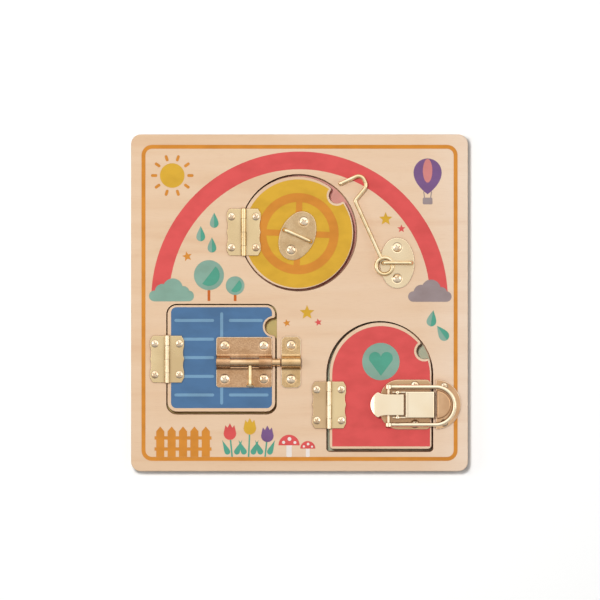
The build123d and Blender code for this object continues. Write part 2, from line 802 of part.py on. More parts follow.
def half_disc(radius):
    """The right half of a disc about the origin"""
    return Circle(radius) - Pos(-radius, 0) * Rectangle(2 * radius, 2 * radius + cut_overrun)


def catch_lip():
    """D-shaped cup pressed up from the catch, wider at the top so that it holds the bail"""
    foot = catch_lip_radius - catch_lip_undercut
    rise = catch_lip_rise - plate_thickness / 2
    shell = loft([half_disc(foot), Pos(0, 0, rise) * half_disc(catch_lip_radius)])
    top = shell.faces().sort_by(Axis.Z)[-1]
    shell = fillet(top.edges(), catch_lip_round)
    inside = foot - catch_lip_wall
    hollow = Pos(catch_lip_wall, 0, -cut_overrun) * extrude(half_disc(inside - catch_lip_wall), rise)
    return shell - hollow


def latch_catch():
    """Catch on the board: a half-round plate with the lip that the bail goes over"""
    outline = Pos(catch_x, latch_y) * half_disc(catch_radius)
    catch = slab(outline, face_z, plate_thickness, plate_edge_round)
    catch += Pos(catch_x + catch_lip_centre, latch_y, face_z + plate_thickness / 2) * catch_lip()
    top = face_z + plate_thickness
    return catch - screw_seats(catch_screw_places(), top, catch_head_radius, latch_ring_gap)


def hinge_places():
    """Where the three hinges sit: the pin's place and the name of the door"""
    return {
        "round": (round_hinge_x, round_hinge_y),
        "shutter": (shutter_hinge_x, shutter_hole_y),
        "arched": (arch_hinge_x, arch_hinge_y),
    }


def drilled(panel, screw_places, staple_place=None):
    """A wooden panel with its pilot holes, and holes for a staple's legs"""
    panel -= pilot_holes(screw_places)
    if staple_place:
        panel -= staple_holes(*staple_place)
    return panel


def back_panel():
    outline = RectangleRounded(board_side, board_side, board_corner_radius)
    panel = extrude(outline, back_thickness)
    bottom = panel.faces().sort_by(Axis.Z)[0]
    return fillet(bottom.edges(), board_edge_round)


def front_panel():
    outline = RectangleRounded(board_side, board_side, board_corner_radius)
    panel = slab(outline, back_thickness, front_thickness, board_edge_round)
    for hole in (round_hole_outline(), shutter_hole_outline(), arch_hole_outline()):
        cut = Pos(0, 0, back_thickness - cut_overrun) * extrude(hole, front_thickness + 2 * cut_overrun)
        panel -= cut
    places = keeper_screw_places() + catch_screw_places()
    places += oval_screw_places(hook_plate_x, hook_plate_y, 0)
    for x, y in hinge_places().values():
        places += leaf_screw_places(x, y, -1)
    return drilled(panel, places, (hook_plate_x, hook_plate_y, 0))


def door_panel(outline):
    return slab(outline, back_thickness + door_back_gap, door_thickness, door_edge_round)


def hinge_nodes(name):
    """The five pieces of one hinge"""
    x, y = hinge_places()[name]
    head_z = face_z + leaf_thickness
    return {
        f"{name}_hinge_board_leaf": hinge_leaf(x, y, -1),
        f"{name}_hinge_door_leaf": hinge_leaf(x, y, 1),
        f"{name}_hinge_pin": hinge_pin(x, y),
        f"{name}_hinge_board_screws": screws(leaf_screw_places(x, y, -1), head_z, screw_head_radius),
        f"{name}_hinge_door_screws": screws(leaf_screw_places(x, y, 1), head_z, screw_head_radius),
    }


def round_hatch_nodes():
    """The round door with its eye plate, and the hook with its plate on the board"""
    eye = (eye_x, eye_y, eye_angle)
    hook_place = (hook_plate_x, hook_plate_y, 0)
    head_z = face_z + plate_thickness
    places = leaf_screw_places(round_hinge_x, round_hinge_y, 1) + oval_screw_places(*eye)
    return {
        "round_door": drilled(door_panel(round_door_outline()), places, eye),
        "eye_plate": oval_plate(*eye),
        "eye_staple": staple(*eye),
        "eye_plate_screws": screws(oval_screw_places(*eye), head_z, oval_head_radius),
        "hook_plate": oval_plate(*hook_place),
        "hook_staple": staple(*hook_place),
        "hook_plate_screws": screws(oval_screw_places(*hook_place), head_z, oval_head_radius),
        "hook": hook_piece(),
    }


def shutter_nodes():
    """The square shutter with its barrel bolt, and the keeper on the board"""
    head_z = face_z + plate_thickness
    places = leaf_screw_places(shutter_hinge_x, shutter_hole_y, 1) + bolt_screw_places()
    return {
        "shutter_door": drilled(door_panel(shutter_door_outline()), places),
        "bolt_plate": bolt_plate(),
        "bolt_plate_screws": screws(bolt_screw_places(), head_z, bolt_head_radius),
        "bolt_rod": bolt_rod(),
        "bolt_knob": bolt_knob(),
        "bolt_keeper": bolt_keeper(),
        "bolt_keeper_screws": screws(keeper_screw_places(), head_z, bolt_head_radius),
    }


def arched_nodes():
    """The arched door with its toggle latch, and the catch on the board"""
    head_z = face_z + plate_thickness
    places = leaf_screw_places(arch_hinge_x, arch_hinge_y, 1) + latch_screw_places()
    return {
        "arched_door": drilled(door_panel(arch_door_outline()), places),
        "latch_base": latch_base(),
        "latch_base_screws": screws(latch_screw_places(), head_z, screw_head_radius),
        "latch_pivot_pin": latch_pivot_pin(),
        "latch_lever": latch_lever(),
        "latch_bail_pin": latch_bail_pin(),
        "latch_bail": latch_bail(),
        "latch_catch": latch_catch(),
        "latch_catch_screws": screws(catch_screw_places(), head_z, catch_head_radius),
    }


def all_nodes():
    nodes = {"back_panel": back_panel(), "front_panel": front_panel()}
    for name in hinge_places():
        nodes.update(hinge_nodes(name))
    nodes.update(round_hatch_nodes())
    nodes.update(shutter_nodes())
    nodes.update(arched_nodes())
    return nodes


os.makedirs("parts", exist_ok=True)
for node, solid in all_nodes().items():
    export_step(solid, f"parts/{node}.step")
    print(node, round(solid.volume, 1), "mm3")
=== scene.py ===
# %% [markdown]
# # A wooden latch board in its finish
# The board lies flat: three little plywood doors, each on a brass hinge and each with
# its own fastening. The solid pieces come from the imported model. This lesson gives them
# wood, printing ink and brass, lays the print on them and sets up a plain studio.

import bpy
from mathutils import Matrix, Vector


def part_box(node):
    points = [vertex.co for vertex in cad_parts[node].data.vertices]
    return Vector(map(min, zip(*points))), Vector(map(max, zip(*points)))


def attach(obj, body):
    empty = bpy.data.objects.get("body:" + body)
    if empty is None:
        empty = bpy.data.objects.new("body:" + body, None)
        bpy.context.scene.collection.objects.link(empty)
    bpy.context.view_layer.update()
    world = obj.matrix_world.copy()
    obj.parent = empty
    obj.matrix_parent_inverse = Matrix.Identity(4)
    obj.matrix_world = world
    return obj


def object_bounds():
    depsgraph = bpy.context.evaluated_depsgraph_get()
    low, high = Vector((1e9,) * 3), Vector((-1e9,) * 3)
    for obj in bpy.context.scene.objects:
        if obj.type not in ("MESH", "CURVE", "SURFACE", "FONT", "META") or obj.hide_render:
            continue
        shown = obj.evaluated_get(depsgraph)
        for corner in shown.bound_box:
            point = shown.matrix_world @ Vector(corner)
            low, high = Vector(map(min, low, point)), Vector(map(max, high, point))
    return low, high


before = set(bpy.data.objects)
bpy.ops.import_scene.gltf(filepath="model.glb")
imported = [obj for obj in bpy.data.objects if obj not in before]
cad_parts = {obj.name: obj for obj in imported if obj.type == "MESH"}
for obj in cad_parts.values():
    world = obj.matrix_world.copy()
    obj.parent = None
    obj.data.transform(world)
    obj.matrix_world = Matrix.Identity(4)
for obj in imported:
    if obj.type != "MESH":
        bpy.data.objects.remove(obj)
cad_low, cad_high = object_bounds()

# %% [markdown]
# ## Units, colours and nodes
# Every size below is a real size in millimetres, times `MM`. Colours are the hex values
# that a paint chart would give. A shader works in linear light, so one function turns
# them over. One more function adds any shader node with its settings and its links, which
# keeps each material short enough to read. An input may be filled from another node, from
# one of its outputs by name, or with a plain value.

# %% Units, colours and nodes
import math

import bpy

MM = 0.001


def linear(hex_colour):
    """An sRGB hex value as linear RGBA"""
    shares = [int(hex_colour[i:i + 2], 16) / 255 for i in (1, 3, 5)]
    light = [s / 12.92 if s <= 0.04045 else ((s + 0.055) / 1.055) ** 2.4 for s in shares]
    return (*light, 1.0)


def fill(tree, node, links):
    """Fill these inputs of a node, each from a node, an output or a plain value"""
    for name, source in links.items():
        if isinstance(source, bpy.types.Node):
            source = next(output for output in source.outputs if output.enabled)
        if isinstance(source, bpy.types.NodeSocket):
            tree.links.new(source, node.inputs[name])
        else:
            node.inputs[name].default_value = source


def add_node(tree, kind, links=None, stops=(), **settings):
    """A node of this kind; stops are a colour ramp's, as (position, hex colour) pairs"""
    made = tree.nodes.new(kind)
    for name, value in settings.items():
        setattr(made, name, value)
    fill(tree, made, links or {})
    if stops:
        elements = made.color_ramp.elements
        while len(elements) < len(stops):
            elements.new(1.0)
        for element, (position, colour) in zip(elements, stops):
            element.position = position
            element.color = linear(colour)
    return made


print("a mid grey in linear light:", [round(v, 3) for v in linear("#808080")[:3]])

# %% [markdown]
# ## Patterns in millimetres
# A pattern only looks right at the right scale. The noise that draws streaks, pores and
# patches is stretched to a real size along each axis. It is read at the point's place on
# the piece, so it stays put when a door swings.

# %% Materials and patterns
blended = {"data_type": "RGBA"}
multiplied = {"data_type": "RGBA", "blend_type": "MULTIPLY"}
relief_depth = 0.1


def begin_material(name):
    """A new material: its node tree, its shader and the point on the piece"""
    material = bpy.data.materials.new(name)
    material.use_nodes = True
    tree = material.node_tree
    place = add_node(tree, "ShaderNodeTexCoord")
    return material, tree, tree.nodes["Principled BSDF"], place


def stretched_noise(tree, place, size, detail=2.0, distortion=0.0):
    """Noise whose patches have this size in millimetres along each axis"""
    scale = [1 / (length * MM) for length in size]
    spread = add_node(tree, "ShaderNodeMapping", {"Vector": place, "Scale": scale})
    links = {"Vector": spread, "Scale": 1.0, "Detail": detail, "Distortion": distortion}
    return add_node(tree, "ShaderNodeTexNoise", links).outputs["Fac"]


print("a relief is at most", relief_depth, "mm deep")

# %% [markdown]
# ## Narrow places
# Where two pieces nearly touch, a shade is painted into the colour: a warm one on wood,
# and a brown one on metal, which stands partly for the tarnish that gathers where no cloth
# reaches. The ambient occlusion node finds such places: it gives 1 in the clear and falls
# towards 0 where something else stands within its reach. A ramp turns that into a tint,
# and the tint is multiplied with the colour.

# %% Painted shade in narrow places
occlusion_samples = 8


def painted_narrow_shade(tree, colour, reach, strength, tint, span):
    """The colour with a painted shade in narrow places, and how open each place is

    Span holds the openness at which the tint is full and the one at which it is gone."""
    links = {"Distance": reach * MM}
    occlusion = add_node(
        tree, "ShaderNodeAmbientOcclusion", links, samples=occlusion_samples
    )
    openness = occlusion.outputs["AO"]
    stops = [(span[0], tint), (span[1], "#FFFFFF")]
    shade = add_node(tree, "ShaderNodeValToRGB", {"Fac": openness}, stops)
    links = {"Factor": strength, "A": colour, "B": shade}
    return add_node(tree, "ShaderNodeMix", links, **multiplied), openness


print("openness is measured with", occlusion_samples, "rays")

# %% [markdown]
# ## Lacquered plywood
# The panels are birch plywood, sanded and sealed with a matt lacquer. On the faces the
# eye finds pale long streaks that run from left to right, 10 to 15 mm apart and a little
# wavy, with much finer pores in them, and the face is drawn paler towards the right. On
# the cut edges it finds the plies: bands 1.5 mm thick, by turns along and across the
# grain, with a dark glue line between. The openings and doors are cut by laser, which
# browns their edges, and only the board's outer edge is sawn and stays pale.

# %% The wood's faces
streak_size = (190, 14, 80)
streak_tones = [(0.30, "#DBB38C"), (0.44, "#E6C6A3"), (0.62, "#EDD2B4")]
side_tones = [(0.0, "#E8C5A3"), (0.85, "#ECCBAD"), (1.0, "#F6DFCB")]
side_share = 0.6
pore_size = (7.0, 0.5, 2.0)
pore_tones = [(0.30, "#E9DCD0"), (0.48, "#FFFFFF")]
pore_share = 0.18


def birch_face(tree, place):
    """The sanded face's colour, and its pores"""
    streak = stretched_noise(tree, place, streak_size, detail=2.5, distortion=0.9)
    face = add_node(tree, "ShaderNodeValToRGB", {"Fac": streak}, streak_tones)
    along = add_node(tree, "ShaderNodeSeparateXYZ", {"Vector": place}).outputs["X"]
    links = {"Value": along, "From Min": -cad_high.x, "From Max": cad_high.x}
    side = add_node(tree, "ShaderNodeMapRange", links)
    tint = add_node(tree, "ShaderNodeValToRGB", {"Fac": side}, side_tones)
    links = {"Factor": side_share, "A": face, "B": tint}
    toned = add_node(tree, "ShaderNodeMix", links, **blended)
    pores = stretched_noise(tree, place, pore_size)
    pore_tint = add_node(tree, "ShaderNodeValToRGB", {"Fac": pores}, pore_tones)
    links = {"Factor": pore_share, "A": toned, "B": pore_tint}
    return add_node(tree, "ShaderNodeMix", links, **multiplied), pores


print("streaks every", streak_size[1], "mm and pores every", pore_size[1], "mm")

# %% The wood's cut edges
ply_thickness = 1.5
glue_tone, along_tone, across_tone = ("#8E6A48", "#E2C39E", "#C69F76")
ply_tones = [(0.0, glue_tone), (0.04, along_tone), (0.46, along_tone)]
ply_tones += [(0.5, glue_tone), (0.54, across_tone), (0.96, across_tone)]
fibre_size = (1.2, 1.2, 0.4)
fibre_tones = [(0.3, "#C9B9A8"), (0.6, "#FFFFFF")]
fibre_share = 0.6
laser_cut_reach = 108
laser_tone = "#E8B494"


def birch_edge(tree, place):
    """The plies of a cut edge with their glue lines, and the laser's brown"""
    axes = add_node(tree, "ShaderNodeSeparateXYZ", {"Vector": place})
    links = {0: axes.outputs["Z"], 1: 2 * ply_thickness * MM}
    pair = add_node(tree, "ShaderNodeMath", links, operation="DIVIDE")
    turn = add_node(tree, "ShaderNodeMath", {0: pair}, operation="FRACT")
    plies = add_node(tree, "ShaderNodeValToRGB", {"Fac": turn}, ply_tones)
    fibre = stretched_noise(tree, place, fibre_size, detail=3.0)
    shade = add_node(tree, "ShaderNodeValToRGB", {"Fac": fibre}, fibre_tones)
    links = {"Factor": fibre_share, "A": plies, "B": shade}
    sawn = add_node(tree, "ShaderNodeMix", links, **multiplied)
    away_x, away_y = [
        add_node(tree, "ShaderNodeMath", {0: axes.outputs[axis]}, operation="ABSOLUTE")
        for axis in "XY"
    ]
    farther = add_node(tree, "ShaderNodeMath", {0: away_x, 1: away_y}, operation="MAXIMUM")
    links = {0: farther, 1: laser_cut_reach * MM}
    inside = add_node(tree, "ShaderNodeMath", links, operation="LESS_THAN")
    links = {"Factor": inside, "A": sawn, "B": linear(laser_tone)}
    return add_node(tree, "ShaderNodeMix", links, **multiplied)


print("edges within", laser_cut_reach, "mm of the middle are laser brown")

# %% [markdown]
# The face and the edge are told apart by the surface's own direction, so one material
# serves all the panels, and the streaks run on from the board into its doors, as they
# were sawn from it. Where a fitting or a door stands close, a warm shade is painted on
# the face. A matt lacquer shows as a weak, wide gloss, and the pores as a faint relief.

# %% Birch plywood
birch_roughness = 0.55
birch_relief = 0.12
matt_gloss = 0.25
edge_slope, face_slope = (0.35, 0.6)
# A shade painted on the faces where something stands close.
contact_shade_reach = 2.2
contact_shade_strength = 0.75
contact_shade_tint = "#8A5E42"
contact_shade_span = (0.45, 0.92)


def birch_plywood():
    """Plywood on all its sides, under a matt lacquer"""
    material, tree, shader, place = begin_material("birch_plywood_matt_lacquer")
    point = place.outputs["Object"]
    face, pores = birch_face(tree, point)
    contact = (contact_shade_reach, contact_shade_strength, contact_shade_tint, contact_shade_span)
    shaded, _ = painted_narrow_shade(tree, face, *contact)
    normal = add_node(tree, "ShaderNodeSeparateXYZ", {"Vector": place.outputs["Normal"]})
    level = add_node(tree, "ShaderNodeMath", {0: normal.outputs["Z"]}, operation="ABSOLUTE")
    links = {"Value": level, "From Min": edge_slope, "From Max": face_slope}
    is_face = add_node(tree, "ShaderNodeMapRange", links)
    links = {"Factor": is_face, "A": birch_edge(tree, point), "B": shaded}
    chosen = add_node(tree, "ShaderNodeMix", links, **blended)
    links = {"Height": pores, "Strength": birch_relief, "Distance": relief_depth * MM}
    fill(tree, shader, {"Base Color": chosen, "Normal": add_node(tree, "ShaderNodeBump", links)})
    fill(tree, shader, {"Roughness": birch_roughness, "Specular IOR Level": matt_gloss})
    return material


birch = birch_plywood()
print("made", birch.name, "with plies of", ply_thickness, "mm")

# %% [markdown]
# ## Screen-printing ink
# The pictures and the doors' colours are printed with opaque ink, one screen for each
# colour. Close up, such ink is even, a little uneven in tone over a few millimetres, and
# the pores of the wood still show through it as a faint relief. So an ink is one colour
# with a small variation, the same fine relief as the wood, and a satin surface. It takes
# the wood's painted shade in narrow places, except behind the doors, where all is shaded
# anyway.

# %% Inks
ink_roughness = 0.46
ink_relief = 0.08
ink_patch_size = (14, 9, 9)
ink_patch_tones = [(0.3, "#F1EEEC"), (0.6, "#FFFFFF")]
ink_pore_size = (6.0, 0.35, 2.0)


def screen_ink(name, hex_colour, contact):
    """An opaque ink; contact is how strong its painted shade in narrow places is"""
    material, tree, shader, place = begin_material(f"screen_ink_{name}")
    point = place.outputs["Object"]
    tone = stretched_noise(tree, point, ink_patch_size, detail=3.0)
    shade = add_node(tree, "ShaderNodeValToRGB", {"Fac": tone}, ink_patch_tones)
    links = {"Factor": 1.0, "A": linear(hex_colour), "B": shade}
    mixed = add_node(tree, "ShaderNodeMix", links, **multiplied)
    shaded, _ = painted_narrow_shade(tree, mixed, contact_shade_reach, contact, contact_shade_tint, contact_shade_span)
    pores = stretched_noise(tree, point, ink_pore_size)
    links = {"Height": pores, "Strength": ink_relief, "Distance": relief_depth * MM}
    fill(tree, shader, {"Base Color": shaded, "Normal": add_node(tree, "ShaderNodeBump", links)})
    fill(tree, shader, {"Roughness": ink_roughness, "Specular IOR Level": matt_gloss})
    return material


ink_colours = {
    "coral": "#E05A58",
    "orange": "#D98E38",
    "yellow": "#DDAD3A",
    "blue": "#52769D",
    "light_blue": "#7BA2C0",
    "pale_teal": "#8BAE9D",
    "deep_teal": "#58A48C",
    "purple": "#7D5C8A",
    "pink": "#D98A86",
    "grey": "#9E8E8E",
    "rust": "#CC6A2C",
    "cream": "#F3E9E0",
    "pale_pink": "#F6B6A9",
    "olive": "#DBCB86",
    "sage": "#C6CEB2",
}
hidden_inks = ("pale_pink", "olive", "sage")
inks = {}
for name, colour in ink_colours.items():
    contact = 0.0 if name in hidden_inks else contact_shade_strength
    inks[name] = screen_ink(name, colour, contact)
print("inks:", ", ".join(inks))

# %% [markdown]
# ## Brass-plated steel
# All the fittings are stamped or drawn steel with a thin brass plating, and the plating
# keeps the surface under it. A metal's colour is its reflection, so a finish is a pair of
# colours, the size of the patches in which they take turns, and a pair of roughness
# values. Some finishes give what lies flat on the board other tones than what stands up
# from it: lit and shaded tones of one metal, painted in. Two things come on top. In
# narrow places a brown shade is painted in, which stands partly for tarnish, and there
# the surface is partly matt. And the rounded edge of a plate that lies on the board gets
# a painted highlight, the thin light rim around each plate. A plate is told from what
# stands up on it by its height, and its edge by its slope.

# %% Where a plate lies
face_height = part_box("front_panel")[1].z / MM
sheet_thickness = 0.8
edge_overshoot = 0.02
# The painted rim highlight fades in between these two slopes of the surface.
flat_slope, rim_highlight_slope = (0.96, 0.80)
crowded, clear_enough = (0.55, 0.75)


def plate_on_board(tree, place):
    """1 on what lies flat on the board, up to a plate's thickness, and 0 above it"""
    height = add_node(tree, "ShaderNodeSeparateXYZ", {"Vector": place.outputs["Object"]})
    plate_top = (face_height + sheet_thickness + edge_overshoot) * MM
    links = {0: height.outputs["Z"], 1: plate_top}
    return add_node(tree, "ShaderNodeMath", links, operation="LESS_THAN")


def painted_rim_highlight(tree, place, openness, plate):
    """Where the painted highlight goes: 1 on the rounded edge of a plate, except round its
    screws, and 0 elsewhere
    """
    normal = add_node(tree, "ShaderNodeSeparateXYZ", {"Vector": place.outputs["Normal"]})
    links = {"Value": normal.outputs["Z"], "From Min": flat_slope, "From Max": rim_highlight_slope}
    turned = add_node(tree, "ShaderNodeMapRange", links)
    links = {"Value": openness, "From Min": crowded, "From Max": clear_enough}
    clear = add_node(tree, "ShaderNodeMapRange", links)
    edge = add_node(tree, "ShaderNodeMath", {0: turned, 1: clear}, operation="MULTIPLY")
    return add_node(tree, "ShaderNodeMath", {0: edge, 1: plate}, operation="MULTIPLY")


print("a plate's top is", round(face_height + sheet_thickness, 2), "mm up")

# %% Patches and specks
patch_span = (0.35, 0.65)
grit_size = 0.5
grit_tones = [(0.35, "#9C7A5C"), (0.62, "#FFFFFF")]


def plated_tones(tree, patches, grit, plate, tones, plate_shading_tones, speckle):
    """Two tones that take turns in patches, and dark specks; where shading tones are given, a
    plate takes them, so lit and shaded tones of one metal are painted in
    """
    raised, lying = [
        add_node(
            tree, "ShaderNodeValToRGB", {"Fac": patches},
            [(patch_span[0], dark), (patch_span[1], light)],
        )
        for light, dark in (tones, plate_shading_tones or tones)
    ]
    links = {"Factor": plate, "A": raised, "B": lying}
    plain = add_node(tree, "ShaderNodeMix", links, **blended)
    spots = add_node(tree, "ShaderNodeValToRGB", {"Fac": grit}, grit_tones)
    links = {"Factor": speckle, "A": plain, "B": spots}
    return add_node(tree, "ShaderNodeMix", links, **multiplied)


print("a speck is", grit_size, "mm wide")

# %% The plating
# Each holds the reach, strength and tint of a brown shade painted into narrow places, which
# stands partly for tarnish.
crevice_shade = (2.6, 0.75, "#5E3A20")
screw_ring_shade = (1.4, 0.85, "#5E3A20")
open_fold_shade = (2.6, 0.30, "#7A4E2C")
under_lever_shade = (9.0, 0.70, "#9A6A3C")
shade_and_tarnish_span = (0.24, 0.90)
matt_film = 0.7
matt_span = (0.24, 0.70)
wear_span = (0.3, 0.7)
# The colour of the painted highlight on a plate's rounded rim.
rim_highlight_tone = "#FFF1D8"


def brass_plating(name, tones, patch_size, polish, plate_shading_tones=None, speckle=0.0,
                  relief=0.05, shade_and_tarnish=crevice_shade, rim_highlight=0.0):
    """Plating of a light and a dark tone, with shading tones on a plate where they are given

    The shade setting holds the reach, strength and tint of a brown shade painted into
    narrow places, which stands partly for tarnish; the rim setting is how strong the
    painted highlight on a plate's rim is."""
    material, tree, shader, place = begin_material(name)
    point = place.outputs["Object"]
    patches = stretched_noise(tree, point, [patch_size] * 3)
    grit = stretched_noise(tree, point, [grit_size] * 3)
    plate = plate_on_board(tree, place)
    colours = (tones, plate_shading_tones, speckle)
    plated = plated_tones(tree, patches, grit, plate, *colours)
    # A brown shade painted into narrow places, partly tarnish.
    shaded_and_tarnished, openness = painted_narrow_shade(tree, plated, *shade_and_tarnish, shade_and_tarnish_span)
    # A painted highlight on the rounded rim of a plate: pale and matt.
    edge = painted_rim_highlight(tree, place, openness, plate)
    share = add_node(tree, "ShaderNodeMath", {0: edge, 1: rim_highlight}, operation="MULTIPLY")
    links = {"Factor": share, "A": shaded_and_tarnished, "B": linear(rim_highlight_tone)}
    colour = add_node(tree, "ShaderNodeMix", links, **blended)
    links = {"Value": openness, "From Min": matt_span[0], "From Max": matt_span[1]}
    links.update({"To Min": matt_film, "To Max": 0.0})
    matt = add_node(tree, "ShaderNodeMapRange", links)
    dulled = add_node(tree, "ShaderNodeMath", {0: share, 1: matt}, operation="MAXIMUM")
    metal = add_node(tree, "ShaderNodeMath", {0: 1.0, 1: dulled}, operation="SUBTRACT")
    smooth, rough = polish
    links = {"Value": patches, "From Min": wear_span[0], "From Max": wear_span[1]}
    links.update({"To Min": rough, "To Max": smooth})
    gloss = add_node(tree, "ShaderNodeMapRange", links)
    links = {"Height": grit, "Strength": relief, "Distance": relief_depth * MM}
    bump = add_node(tree, "ShaderNodeBump", links)
    fill(tree, shader, {"Base Color": colour, "Metallic": metal})
    fill(tree, shader, {"Roughness": gloss, "Normal": bump})
    return material


print("films reach", crevice_shade[0], screw_ring_shade[0], open_fold_shade[0], under_lever_shade[0], "mm")

# %% [markdown]
# ## Twelve finishes
# The hinges are tumbled and satin, with cloudy patches some centimetres wide. On two of
# them the barrels are given lighter tones than the leaves, a painted highlight, and on one
# the board's leaf is duller. The hook, the staples and the screws are bright drawn wire,
# and the bolt's rod is a rosier one. The hook's plate is a satin sheet and the eye's plate
# a duller one with a fine speckle. The toggle latch is polished to a pale gold, its base
# plate is painted browner as a painted shade and reflection, and its catch is rosier. The
# bolt is a rosy gold over rough-rolled sheet, and its keeper a paler one. Their speckle is
# drawn 0.5 mm wide, coarser than the real one, so that it can be seen.

# %% Hinges and wires
bright = (0.10, 0.16)
rosy_bright = (0.14, 0.20)
drawn = (0.14, 0.22)
satin = (0.20, 0.30)
# The barrels take these lighter tones, a painted highlight, and the leaves darker ones.
barrel_highlight_tones = ("#FBEACB", "#F2DDB8")
hinge_brass = brass_plating(
    "satin_brass_plated_steel", ("#EFD6A7", "#DCC092"), 26, satin, rim_highlight=0.3
)
barrel_highlight_brass = brass_plating(
    "barrel_highlight_brass_plated_steel", barrel_highlight_tones, 26, satin, ("#E8CFA0", "#D5B98B"),
    rim_highlight=0.3,
)
dull_leaf_brass = brass_plating(
    "dull_leaf_brass_plated_steel", barrel_highlight_tones, 26, satin, ("#D4B48A", "#BF9D72"),
    rim_highlight=0.3,
)
wire_brass = brass_plating("polished_brass_plated_wire", ("#F6E3BE", "#E6CB9B"), 8, bright)
rod_brass = brass_plating(
    "rosy_brass_plated_rod", ("#E8C69C", "#D3AB7C"), 9, drawn, speckle=0.2, shade_and_tarnish=open_fold_shade
)
screw_brass = brass_plating("bright_brass_plated_screw", ("#FBE8CC", "#E8C59C"), 3, bright)
print("six finishes for hinges, wires and screws")

# %% Plates, latch and bolt
oval_brass = brass_plating(
    "satin_brass_plated_sheet", ("#F1DDB8", "#E4C9A2"), 30, satin, shade_and_tarnish=screw_ring_shade, rim_highlight=0.7
)
eye_brass = brass_plating(
    "handled_brass_plated_sheet", ("#E0C298", "#CCAB7E"), 12, satin,
    speckle=0.2, shade_and_tarnish=screw_ring_shade, rim_highlight=0.7,
)
# The latch's base plate takes the browner tones, a painted shade and reflection.
latch_brass = brass_plating(
    "polished_brass_plated_sheet", ("#FBEBCE", "#F4DEBA"), 30, bright, ("#DCB98F", "#D0A97C"),
    shade_and_tarnish=under_lever_shade, rim_highlight=0.6,
)
catch_brass = brass_plating(
    "rosy_polished_brass_plated_sheet", ("#DDB58C", "#C89C74"), 16, rosy_bright,
    shade_and_tarnish=open_fold_shade, rim_highlight=0.8,
)
bolt_brass = brass_plating(
    "rosy_brass_plated_rough_sheet", ("#D8B088", "#C3976D"), 9, satin,
    speckle=0.4, relief=0.12, shade_and_tarnish=screw_ring_shade, rim_highlight=0.9,
)
keeper_brass = brass_plating(
    "pale_brass_plated_rough_sheet", ("#E2C292", "#D4B07D"), 9, satin,
    speckle=0.3, relief=0.12, shade_and_tarnish=screw_ring_shade, rim_highlight=0.9,
)
print("six finishes for plates, latch and bolt")

# %% [markdown]
# ## The finishes go on the solid pieces
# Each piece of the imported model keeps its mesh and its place, and gets a finish in its own
# material slot. The names of the pieces say what they are made of, so a short table of
# words is enough. The first word that a name holds decides.

# %% Dress the solid pieces
finish_by_word = [
    ("_screws", screw_brass),
    ("round_hinge", hinge_brass),
    ("arched_hinge_board_leaf", dull_leaf_brass),
    ("hinge", barrel_highlight_brass),
    ("bolt_rod", rod_brass),
    ("bolt_knob", wire_brass),
    ("bolt_keeper", keeper_brass),
    ("bolt", bolt_brass),
    ("catch", catch_brass),
    ("latch", latch_brass),
    ("staple", wire_brass),
    ("eye_plate", eye_brass),
    ("hook_plate", oval_brass),
    ("hook", wire_brass),
    ("panel", birch),
    ("door", birch),
]
for name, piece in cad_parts.items():
    finish = next(finish for word, finish in finish_by_word if word in name)
    piece.data.materials.clear()
    piece.data.materials.append(finish)
print("dressed", len(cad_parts), "pieces")

# %% [markdown]
# ## How a print is drawn
# Each printed shape starts as a flat face at the origin, is shaped in edit mode, and is
# then put in its place. Discs, bands, strips, drops and stars go a long way, and the few
# other shapes are made from these. A band is a face inset by its width, with the middle
# taken out, and half a shape is what a bisect cut leaves.

# %% Helpers for flat shapes
on_line = 0.01
almost_half = 0.499
smooth_sides = 128


def clear_selection():
    """Leave edit mode and deselect everything"""
    if bpy.context.object and bpy.context.object.mode != "OBJECT":
        bpy.ops.object.mode_set(mode="OBJECT")
    bpy.ops.object.select_all(action="DESELECT")


def edit_all():
    """Go to edit mode with the whole shape selected"""
    bpy.ops.object.mode_set(mode="EDIT")
    bpy.ops.mesh.select_all(action="SELECT")


def select_points(piece, wanted):
    """Select, in edit mode, the vertices for which wanted(x, y) in millimetres is true"""
    bpy.ops.object.mode_set(mode="EDIT")
    bpy.ops.mesh.select_mode(type="VERT")
    bpy.ops.mesh.select_all(action="DESELECT")
    bpy.ops.object.mode_set(mode="OBJECT")
    for vertex in piece.data.vertices:
        vertex.select = wanted(vertex.co.x / MM, vertex.co.y / MM)
    bpy.ops.object.mode_set(mode="EDIT")


def put(piece, x, y, turn=0.0):
    """Move a shape drawn about the origin to its place on the board, and apply it"""
    if piece.mode != "OBJECT":
        bpy.ops.object.mode_set(mode="OBJECT")
    piece.location = (x * MM, y * MM, 0.0)
    piece.rotation_euler = (0.0, 0.0, math.radians(turn))
    bpy.ops.object.transform_apply(location=True, rotation=True, scale=True)
    return piece


def hollow(piece, width):
    """Inset a shape and take out its middle, so that a band of this width stays"""
    edit_all()
    bpy.ops.mesh.inset(thickness=width * MM)
    bpy.ops.mesh.delete(type="FACE")
    return piece


def halve(piece, toward):
    """Cut a shape through the origin and keep the half on this side"""
    edit_all()
    bpy.ops.mesh.bisect(plane_co=(0, 0, 0), plane_no=(*toward, 0), clear_inner=True)
    return piece


print("points within", on_line, "mm of a line count as on it")

# %% Discs, bands and strips
def disc(x, y, radius, sides=48, wide=1.0):
    """A round spot, or an oval one where wide isn't 1"""
    clear_selection()
    bpy.ops.mesh.primitive_circle_add(vertices=sides, radius=radius * MM, fill_type="NGON")
    piece = bpy.context.object
    bpy.ops.object.mode_set(mode="EDIT")
    bpy.ops.transform.resize(value=(wide, 1.0, 1.0), center_override=(0, 0, 0))
    return put(piece, x, y)


def ring(x, y, radius, width, sides=96):
    """A round band"""
    return put(hollow(disc(0, 0, radius, sides), width), x, y)


